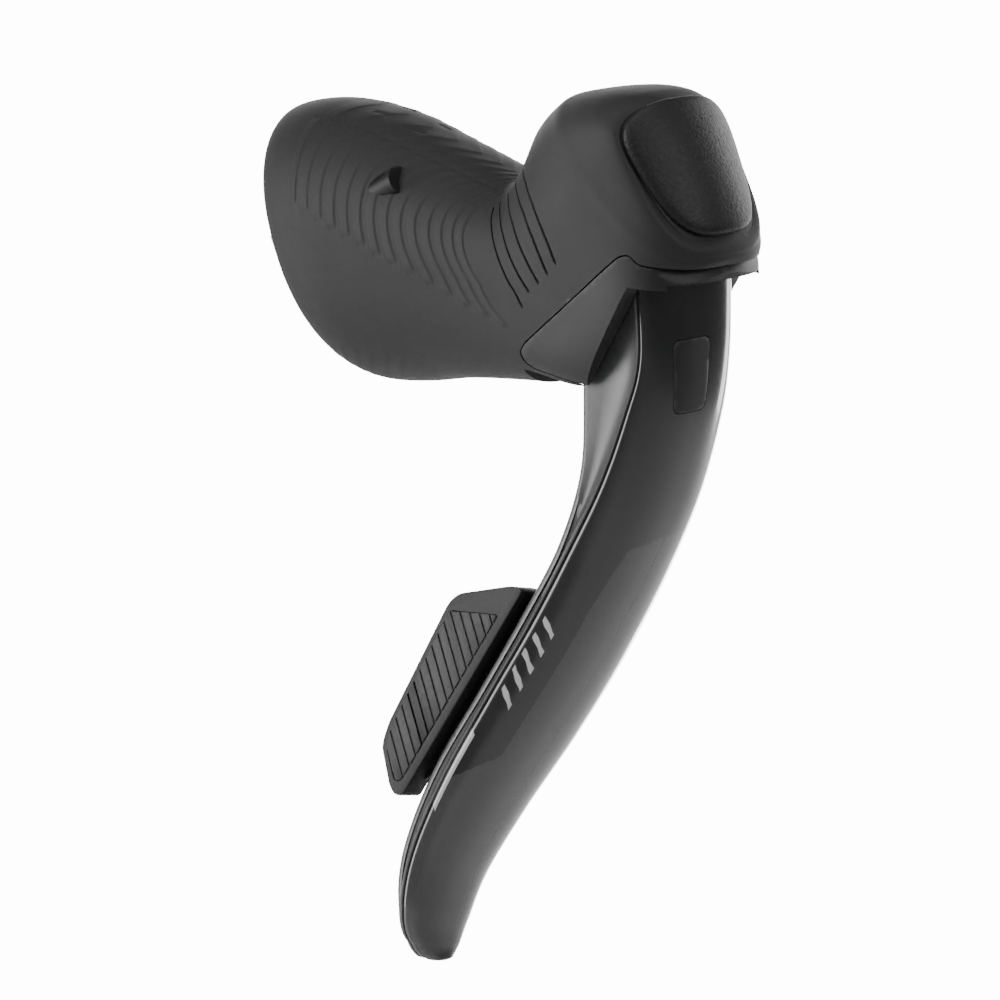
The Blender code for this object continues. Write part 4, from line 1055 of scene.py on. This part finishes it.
@dataclass
class LeverBody:
    """The moulded body: core under the hood, the two cheeks beside the blade, and its bores."""

    waist: float = 11.0
    slot_half: float = 12.2
    lug_half: float = 8.0
    bore_z: float = -8.2
    hose: tuple[float, float, float] = (13.0, 12.9, -8.0)
    hatch: tuple[float, float] = (38.0, -3.5)
    ear: tuple[tuple[float, float], ...] = (
        (125.0, -12.0), (125.0, 3.1), (97.6, 6.2), (95.8, 7.9), (93.8, 7.4), (68.6, -12.6), (67.3, -14.2),
        (67.6, -15.8), (69.4, -17.1), (84.0, -18.5))

    def core(self) -> bpy.types.Object:
        """Builds the solid core under the hood."""
        places = np.linspace(0.6, HOOD.end, 60)
        inset = np.where(places > HOOD.end - 0.8, HoodCover.rim_wall, HoodCover.wall) + 0.5
        limit = self.waist + np.maximum(0, places - 2.6) * 4.0
        sections = HOOD.points(places, HOOD.even_angles(places, 120), inset, half_limit=limit)
        angles = HOOD.even_angles(places[-1:], 120)
        face = [HOOD.face_ring(angles, inset[-1], 0.0, share) for share in np.linspace(0.9, 0.1, 9)]
        return loft("lever_body_fine", np.concatenate((sections, np.array(face))))

    def cheeks(self) -> bpy.types.Object:
        """Builds the two cheeks, flush with the hood and softened along their outline."""
        places = np.linspace(5.6, 10.8, 60)
        cheeks = loft("cheeks", HOOD.points(places, HOOD.even_angles(places, 200), 0.08))
        outline = prism("cheek_outline", round_corners(self.ear, 1.4), -20, 20)
        combine(cheeks, "INTERSECT", [outline])
        soften(cheeks, 0.45, 3, 40)
        return cheeks

    def saddle_cuts(self) -> list:
        """Returns the cutters that make room for the bar and its clamp bolt."""
        behind = [[tuple(bar_point(f, s, u)) for s, u in ((-30, -60), (30, -60), (30, 60), (-30, 60))]
                  for f in (-40, 4.5)]
        return [rod("saddle", bar_point(0, 0, -60), bar_point(0, 0, 60), 12.1, 80), loft("behind", np.array(behind)),
                rod("bolt_hole", bar_point(15, -13.6, -3.4), bar_point(30, -13.6, -3.4), 1.3),
                rod("bolt_room", bar_point(20.2, -13.6, -3.4), bar_point(36, -13.6, -3.4), 2.8),
                rod("anchor", bar_point(13.0, 6, -3.4), bar_point(13.0, 14, -3.4), 1.7)]

    def blade_cuts(self) -> list:
        """Returns the cutters of the blade's slot, its pin and the lead's socket."""
        slot = [(118.0, 2.8), (118.0, -34.0), (63.5, -34.0), (67.3, -21.0), (72.0, -9.0), (75.5, 2.8)]
        lug_slot = [(76.5, 2.0), (76.8, 8.8), (79.6, 12.2), (92.0, 12.2), (94.0, 10.0), (94.0, 2.0)]
        nose_room = [(82.7, -18.5), (95.7, 2.1), (118.0, 1.4), (118.0, -45.0), (82.7, -45.0)]
        return [prism("slot", slot, -self.slot_half, self.slot_half), prism("nose_room", nose_room, -30, 30),
                prism("lug_slot", lug_slot, -self.lug_half - 0.6, self.lug_half + 0.6),
                rod("pin_hole", (PIVOT.x, -30, PIVOT.z), (PIVOT.x, 30, PIVOT.z), 2.45),
                rod("lock_hole", (PIVOT.x, 10.8, PIVOT.z), (PIVOT.x, 10.8, 30), 1.6),
                rod("lead_hole", (91.0, 6.3, 8), (91.0, 6.3, 12.4), 1.9)]

    def fluid_cuts(self) -> list:
        """Returns the cutters of the cylinder, the reservoir and the hose's seat."""
        x, y, z = self.hose
        cutters = [rod("bore", (25.5, 0, self.bore_z), (80, 0, self.bore_z), 5.0),
                   rod("stop_groove", (70.3, 0, self.bore_z), (71.8, 0, self.bore_z), 5.9),
                   rod("hose_seat", (x + 2, y, z), (x + 11.4, y, z), 2.7),
                   rod("nut_room", (x - 9, y, z), (x + 6.8, y, z), 3.7),
                   rod("hose_passage", (x + 10.8, y, z), (x + 14, 2.5, self.bore_z), 1.1, 16),
                   rod("bleed_bore", (80, 0, 22.5), (80, 0, 40), 2.6), rod("bleed_seat", (80, 0, 30.2), (80, 0, 40), 3.6),
                   rod("bleed_drill", (80, 0, 23.5), (88, 0, 20.5), 1.1, 16),
                   rod("level_drill", (86, 0, 16.5), (67, 0, 15.2), 1.1, 16),
                   rod("port_drill", (68, 0, 16), (62, 0, self.bore_z + 3), 1.1, 16)]
        for inset, low, high in ((-14, -3.0, 16), (3.7, -5.4, 0), (6.6, -15.5, 0)):
            cutters.append(HOOD.face_plug("front", inset, low, high))
        return cutters

    def side_cuts(self) -> list:
        """Returns the cutters of the battery bay and of the buttons' seats."""
        x, z = self.hatch

        def square(half: float) -> list:
            """Returns the bay's square outline."""
            return [(x - half, z - half), (x + half, z - half), (x + half, z + half), (x - half, z + half)]

        cutters = [prism("bay", round_corners(square(10.5), 8.5, 12), 6.0, 25),
                   prism("ledge", round_corners(square(12.1), 4.3, 8), 10.7, 25)]
        cutters += [rod("hatch_hole", (x + s, 8, z - s), (x + s, 12, z - s), 0.95) for s in (-9.7, 9.7)]
        for sx, sz, low, radius in ((80.0, 22.0, 11.2, 4.0), (79.5, -9.0, 12.9, 2.25), (74.0, -11.5, 13.2, 1.15)):
            cutters.append(rod("button_seat", (sx, low, sz), (sx, 30, sz), radius))
        return cutters

    def build(self) -> bpy.types.Object:
        """Builds the body and ties it to the lever."""
        body = self.core()
        x, y, z = self.hose
        boss = [(-9, -4), (-9, 4), (-15.9, 3), (-15.9, -3)]
        join(body, self.cheeks(), rod("hose_boss", (x + 6.8, y, z), (x + 12.2, y, z), 3.5),
             prism("hose_web", [(19.8, z - 3.4), (25.2, z - 3.4), (25.2, z + 3.4), (19.8, z + 3.4)], 8.0, y),
             loft("bolt_boss", np.array([[tuple(bar_point(f, s, -3.4 + u)) for s, u in boss] for f in (17.4, 20.2)])))
        cut(body, *self.saddle_cuts(), *self.blade_cuts(), *self.fluid_cuts(), *self.side_cuts())
        soften(body, 0)
        stand_for(body, "lever", "body_plastic", "lever_body")
        return body


# ---------------------------------------------------------------- brake blade

@dataclass
class BrakeBlade:
    """The glossy front shell, the grey frame behind it and the reach cover."""

    rings: int = 300
    bead: float = 0.28
    lug_half: float = 8.0
    lug_inner: float = 4.0
    reach: tuple[float, float] = (-2.0, -15.5)

    def shell_section(self, half: float, seam: float, _depth: float) -> list:
        """Returns the shell's section: front, rounded edges and inner face."""
        outer = BLADE.arc(half, 0, seam, 61, self.bead)
        inner = BLADE.arc(half - BLADE.wall, BLADE.wall, seam - 0.1, 25)
        near = [(half + self.bead * 0.7, seam + 0.28), (half - 0.25, seam + 0.42), (half - 0.9, seam + 0.30)]
        far = [(-a, depth) for a, depth in reversed(near)]
        return outer + near + inner[::-1] + far

    def frame_section(self, half: float, seam: float, depth: float) -> list:
        """Returns the frame's section: nose, two beads, hollowed flanks and a rounded back."""
        edge = seam + 0.78
        nose = BLADE.arc(half - 2.1, 2.1, seam + 0.45, 31)
        drop = depth - seam
        flank = [(half - 0.35, edge), (half + 0.10, edge + 0.22), (half + 0.16, edge + 0.55), (half - 0.05, edge + 0.95),
                 (half * 0.965, edge + 0.16 * drop + 0.6), (half * 0.945, edge + 0.34 * drop),
                 (half * 0.95, edge + 0.55 * drop), (half * 0.968, depth - 1.7), (half * 0.965, depth - 0.9),
                 (half * 0.965 - 0.45, depth - 0.25), (half * 0.965 - 1.3, depth)]
        return [(-a, d) for a, d in reversed(flank)][-1:] + nose + flank + [(-a, d) for a, d in reversed(flank)][:-1]

    def map_front(self, shell: bpy.types.Object) -> None:
        """Lays the lacquer's map on the shell: across the front, and along the blade."""
        places = np.linspace(0, BLADE.end, 400)
        track = BLADE.rings(lambda half, seam, _depth: BLADE.arc(half, 0, seam, 61, self.bead), places)
        tree_points = track.reshape(-1, 3) * MM
        tree = KDTree(len(tree_points))
        for number, point in enumerate(tree_points):
            tree.insert(point, number)
        tree.balance()
        layer = shell.data.uv_layers.new(name="lacquer_map")
        found = [tree.find(vertex.co)[1] for vertex in shell.data.vertices]
        for loop in shell.data.loops:
            ring, step = divmod(found[loop.vertex_index], 61)
            layer.data[loop.index].uv = (step / 60, ring / 399)

    def reach_panel(self, inset: float, gap: float = 0.0) -> list:
        """Returns the outline of the reach cover, as sideways and height."""
        side, height = self.reach
        corners = [(-4.8, 6.9), (-4.0, -7.1), (4.0, -7.1), (4.8, 6.9)]
        return round_corners([(side + a - math.copysign(inset, a), height + z + (inset if z < 0 else gap))
                              for a, z in corners], 1.7)

    def build_shell(self) -> None:
        """Builds the shell and the cover in its window."""
        places = np.linspace(0, BLADE.end, self.rings)
        body = BLADE.rings(self.shell_section, places)
        shell = loft("blade_shell_fine", BLADE.rounded_tip(body))
        cover = loft("reach_cover_fine", body[: self.rings // 4])
        cut(shell, prism("window", self.reach_panel(0), 88, 110, facing_front))
        combine(cover, "INTERSECT", [prism("cover_outline", self.reach_panel(0.16, -0.16), 88, 110, facing_front)])
        self.map_front(shell)
        soften(shell, 0)
        soften(cover, 0.12, 2, 40)
        stand_for(shell, "blade", "gloss_carbon", "blade_shell")
        stand_for(cover, "blade", "body_plastic", "reach_cover")

    def lead_route(self) -> list:
        """Returns the switch lead's route up the frame."""
        route = [PADDLE.point(-8.6, 6.3, 7.1), PADDLE.point(-14, 6.5, 7.4), PADDLE.point(-20, 6.4, 8.2),
                 (83.6, 6.0, -50.0), (86.2, 6.3, -41.0), (88.6, 6.3, -32.0), (90.2, 6.3, -23.0), (91.2, 6.3, -12.0),
                 (92.0, 6.3, -2.0), (92.2, 6.3, 1.6), (92.2, 6.3, 4.0)]
        return [Vector(row) for row in smooth_rows([tuple(point) for point in route], np.linspace(0, 10, 41))]

    def frame_cuts(self) -> list:
        """Returns the cutters of the frame's bores, channels and slopes."""
        slope = [(97.4, 1.9), (74, -3.9), (74, 2.6), (97.4, 2.6)]
        cutters = [prism("slope", slope, low, high) for low, high in ((-13, -8.001), (8.001, 13))]
        cutters.append(prism("spring_room", [(77, 12), (92, 12), (92, 0.2), (77, -1.4)], -4, 4))
        for centre, reach, radius in ((PIVOT, 12, 4.05), (TRUNNION, 14, 3.05)):
            cutters.append(rod("way", (centre.x, -reach, centre.z), (centre.x, reach, centre.z), radius))
        cutters.append(prism("rod_room", [(73, -15.6), (82, -15.6), (82, -4.4), (73, -4.4)], -2.4, 2.4))
        cutters += [rod("reach_way", (x, *self.reach), (100, *self.reach), radius) for x, radius in ((86.5, 1.8), (93.8, 2.8))]
        channel = round_corners([(-9.2, 5.9), (9.2, 5.9), (9.2, 24), (-9.2, 24)], 0.8)
        cutters.append(prism("channel", channel, -27, 30, PADDLE.across))
        trough = [(-8.6, 7.5), (8.6, 7.5), (8.6, 30), (-8.6, 30)]
        cutters.append(loft("trough", np.array([[(x - depth, side, z) for side, depth in trough]
                                                for x, z in ((99.0, -27.5), (94.6, -40.0), (86.0, -60.0))])))
        route = self.lead_route()
        rings = [ring_around(point, route[min(i + 1, 40)] - route[max(i - 1, 0)], 0, 1.0, 12)
                 for i, point in enumerate(route)]
        cutters.append(loft("lead_way", np.array(rings)))
        return cutters

    def build_frame(self) -> None:
        """Builds the grey frame with its lugs, channel and paddle brackets."""
        body = BLADE.rings(self.frame_section, np.linspace(0, BLADE.end, 200))
        made = loft("blade_frame_fine", BLADE.rounded_tip(body))
        turns = np.radians(np.linspace(-25, 205, 40))
        lug = [(PIVOT.x + 5.4 * math.cos(a), PIVOT.z + 5.4 * math.sin(a)) for a in turns] + [(79.2, -5.0), (90.0, -5.0)]
        for side in Side:
            ends = sorted((side.value * self.lug_half, side.value * self.lug_inner))
            join(made, prism("lug", lug, *ends))
        cut(made, *self.frame_cuts())
        bracket = [(-2.6, 5.0), (3.6, 5.0), (3.6, 11.6), (-2.6, 11.6)]
        join(made, *[prism("bracket", round_corners(bracket, 1.0), low, low + 2.6, PADDLE.across)
                     for low in (-15.6, 17.2)])
        cut(made, rod("paddle_pin_way", PADDLE.point(-17.5, *PADDLE.hinge), PADDLE.point(21.5, *PADDLE.hinge), 1.25))
        soften(made, 0)
        stand_for(made, "blade", "frame_grey", "blade_frame")

    def build(self) -> None:
        """Builds the blade's pieces."""
        self.build_shell()
        self.build_frame()


# ---------------------------------------------------------------- shift paddle

@dataclass
class ShiftPaddle:
    """The shift paddle with its ribbed grip, hinge barrel and switch tab."""

    ribs: int = 19
    rib_pitch: float = 2.35
    groove: float = 0.50
    plate: tuple[tuple[float, float], ...] = (
        (-15.5, 14.2), (-13.8, 17.2), (-4.0, 27.2), (-1.0, 28.2), (27.0, 25.8), (31.5, 24.4), (36.0, 17.6),
        (36.4, 15.4), (35.2, 13.7))
    grip: tuple[tuple[float, float], ...] = (
        (-7.5, 16.2), (0.0, 26.8), (26.6, 24.6), (30.6, 23.2), (34.2, 17.4), (33.2, 15.8))

    def grip_outline(self, grow: float) -> list:
        """Returns the grip's outline, grown by a distance."""
        middle = np.mean(self.grip, axis=0)
        return [tuple(np.array(p) + grow * (np.array(p) - middle) / np.linalg.norm(np.array(p) - middle))
                for p in self.grip]

    def build_grip(self) -> None:
        """Builds the ribbed insert on the outer face."""
        grip = prism("paddle_grip_fine", round_corners(self.grip_outline(0), 0.9), -12.25, -11.5, PADDLE.beside)
        soften(grip, 0.18, 2)
        run = np.array((0.467, -0.885))
        step = np.array((0.885, 0.467))
        start = np.array((13.0, 21.5)) - step * self.rib_pitch * (self.ribs - 1) / 2
        for number in range(self.ribs):
            middle = start + step * self.rib_pitch * number
            far, near = middle - run * 22, middle + run * 22
            wide = step * self.groove / 2
            outline = [tuple(far - wide), tuple(near - wide), tuple(near + wide), tuple(far + wide)]
            cut(grip, prism("rib_groove", outline, -14, -11.92, PADDLE.beside))
        soften(grip, 0.08, 2, 50)
        stand_for(grip, "paddle", "grip_rubber", "paddle_grip")

    def build_plate(self) -> None:
        """Builds the paddle itself."""
        side, back = PADDLE.hinge
        plate = prism("shift_paddle_fine", round_corners(self.plate, 1.6), -12.0, -7.0, PADDLE.beside)
        soften(plate, 0.5, 3, 30)
        web = [(side + 0.8, back + 1.9), (side - 1.6, back - 0.6), (-9.0, 16.4), (-7.6, 19.2)]
        tab = [(side, back + 0.6), (side, back + 2.3), (8.0, back + 2.3), (8.0, back + 0.6)]
        # A dark flange on the paddle's inner face fills the gap to the blade's flank where only shadow lies, standing
        # in for that shadow
        shadow_fill_flange = [(-13.0, 11.6), (-13.0, 16.4), (33.5, 16.4), (33.5, 15.0), (27.0, 11.6)]
        join(plate, prism("shadow_fill_flange", round_corners(shadow_fill_flange, 0.6), -8.6, -7.1, PADDLE.beside),
             prism("web", web, -9.0, 9.0, PADDLE.across),
             rod("barrel", PADDLE.point(-12.6, side, back), PADDLE.point(11.0, side, back), 2.6),
             prism("tab", tab, -8.0, -3.0, PADDLE.across))
        seat = prism("grip_seat", round_corners(self.grip_outline(0.2), 1.0), -13, -11.2, PADDLE.beside)
        cut(plate, rod("bore", PADDLE.point(-20, side, back), PADDLE.point(20, side, back), 1.4), seat)
        soften(plate, 0)
        stand_for(plate, "paddle", "paddle_plastic", "shift_paddle")

    def build(self) -> None:
        """Builds the paddle's pieces."""
        self.build_plate()
        self.build_grip()


# ---------------------------------------------------------------- kept nodes and stage

def dress_kept_nodes() -> None:
    """Gives every node that stays in view the finish of its own material slot."""
    slots = {part["node"]: part["material_slot"] for part in frame["record"]["subparts"]}
    for name, node in sorted(frame["nodes"].items()):
        if not node.hide_render:
            dress(node, slots[name])
            log.info("%s: kept, %s", name, slots[name])


@dataclass
class Studio:
    """Plain pale floor, soft lights and the camera."""

    azimuth: float = 46.0
    elevation: float = 14.0
    distance: float = 0.80
    focal: float = 149.76
    target: tuple[float, float, float] = (0.0502, -0.0035, -0.0475)
    floor_drop: float = 0.35
    dome: float = 0.14
    backdrop: float = 14.0
    # Lights: azimuth, elevation, distance, width, height, power
    lights: tuple[tuple[float, float, float, float, float, float], ...] = (
        (226.0, -4.0, 1.5, 2.4, 1.6, 40.0), (-52.0, -10.0, 1.2, 0.40, 1.2, 8.0), (30.0, 80.0, 1.2, 0.9, 0.6, 3.5),
        (172.0, 0.0, 1.2, 0.30, 1.4, 9.0), (-25.0, 22.0, 1.2, 0.5, 0.5, 6.0), (95.0, 35.0, 1.2, 0.5, 0.5, 2.5),
        (205.0, -24.0, 0.8, 0.30, 0.5, 4.0))

    def middle(self) -> Vector:
        """Returns the middle of the object."""
        low, high = (Vector(corner) for corner in CAD_BOX)
        return (low + high) / 2

    def away(self, azimuth: float, elevation: float) -> Vector:
        """Returns the direction from the object towards a viewer."""
        a, e = math.radians(azimuth), math.radians(elevation)
        return Vector((math.sin(a) * math.cos(e), -math.cos(a) * math.cos(e), math.sin(e)))

    def aim(self, item: bpy.types.Object, target: Vector, azimuth: float, elevation: float, distance: float) -> None:
        """Places a lamp or camera around a target and turns it to look there."""
        direction = self.away(azimuth, elevation)
        item.location = target + direction * distance
        item.rotation_euler = direction.to_track_quat("Z", "Y").to_euler()
        bpy.context.scene.collection.objects.link(item)

    def build_camera(self) -> None:
        """Makes the camera."""
        data = bpy.data.cameras.new("camera")
        data.lens = self.focal
        camera = bpy.data.objects.new("camera", data)
        self.aim(camera, Vector(self.target), self.azimuth, self.elevation, self.distance)
        bpy.context.scene.camera = camera

    def build_lights(self) -> None:
        """Makes the soft lights and the pale surroundings."""
        for number, (azimuth, elevation, distance, width, height, power) in enumerate(self.lights):
            data = bpy.data.lights.new(f"soft_light_{number}", "AREA")
            data.shape = "RECTANGLE"
            data.size, data.size_y = width, height
            data.energy = power
            lamp = bpy.data.objects.new(data.name, data)
            lamp.visible_camera = False
            self.aim(lamp, self.middle(), azimuth, elevation, distance)
        world = bpy.data.worlds.new("studio")
        world.use_nodes = True
        tree = world.node_tree
        dome = tree.nodes["Background"]
        dome.inputs["Color"].default_value = (1.0, 1.0, 1.0, 1.0)
        dome.inputs["Strength"].default_value = self.dome
        self.white_for_camera(tree, dome.outputs[0], tree.nodes["World Output"].inputs["Surface"])
        bpy.context.scene.world = world

    def white_for_camera(self, tree: bpy.types.NodeTree, seen_by_object: bpy.types.NodeSocket,
                         end: bpy.types.NodeSocket) -> None:
        """Shows plain white behind the object, while the object is lit by what it would be anyway."""
        path = tree.nodes.new("ShaderNodeLightPath")
        white = tree.nodes.new("ShaderNodeEmission")
        white.inputs["Strength"].default_value = self.backdrop
        choice = tree.nodes.new("ShaderNodeMixShader")
        tree.links.new(path.outputs["Is Camera Ray"], choice.inputs["Fac"])
        tree.links.new(seen_by_object, choice.inputs[1])
        tree.links.new(white.outputs[0], choice.inputs[2])
        tree.links.new(choice.outputs[0], end)

    def build_floor(self) -> None:
        """Makes the floor, well below the object."""
        level = (CAD_BOX[0][2] - self.floor_drop) / MM
        corners = [(-9000, -9000, level), (9000, -9000, level), (9000, 9000, level), (-9000, 9000, level)]
        floor = make_object("floor", np.array(corners), [(0, 1, 2, 3)])
        paper = bpy.data.materials.new("pale_paper")
        paper.use_nodes = True
        tree = paper.node_tree
        shader = tree.nodes["Principled BSDF"]
        noise = tree.nodes.new("ShaderNodeTexNoise")
        noise.inputs["Scale"].default_value = 3.0
        spread = tree.nodes.new("ShaderNodeMapRange")
        spread.inputs["To Min"].default_value = 0.80
        spread.inputs["To Max"].default_value = 0.90
        tree.links.new(noise.outputs["Fac"], spread.inputs["Value"])
        tree.links.new(spread.outputs["Result"], shader.inputs["Roughness"])
        shader.inputs["Base Color"].default_value = (0.80, 0.80, 0.80, 1.0)
        self.white_for_camera(tree, shader.outputs[0], tree.nodes["Material Output"].inputs["Surface"])
        floor.data.materials.append(paper)

    def build(self) -> None:
        """Makes everything around the object."""
        self.build_camera()
        self.build_lights()
        self.build_floor()


def main() -> None:
    """Builds the shared effects and the studio, then the lever's pieces in order, logging each piece's face count."""
    logging.basicConfig(level=logging.INFO, format="%(name)s %(message)s")
    build_effects()
    Studio().build()
    HoodCover().build()
    HornPad().build()
    LeverBody().build()
    BrakeBlade().build()
    ShiftPaddle().build()
    dress_kept_nodes()


if __name__ == "__main__":
    main()
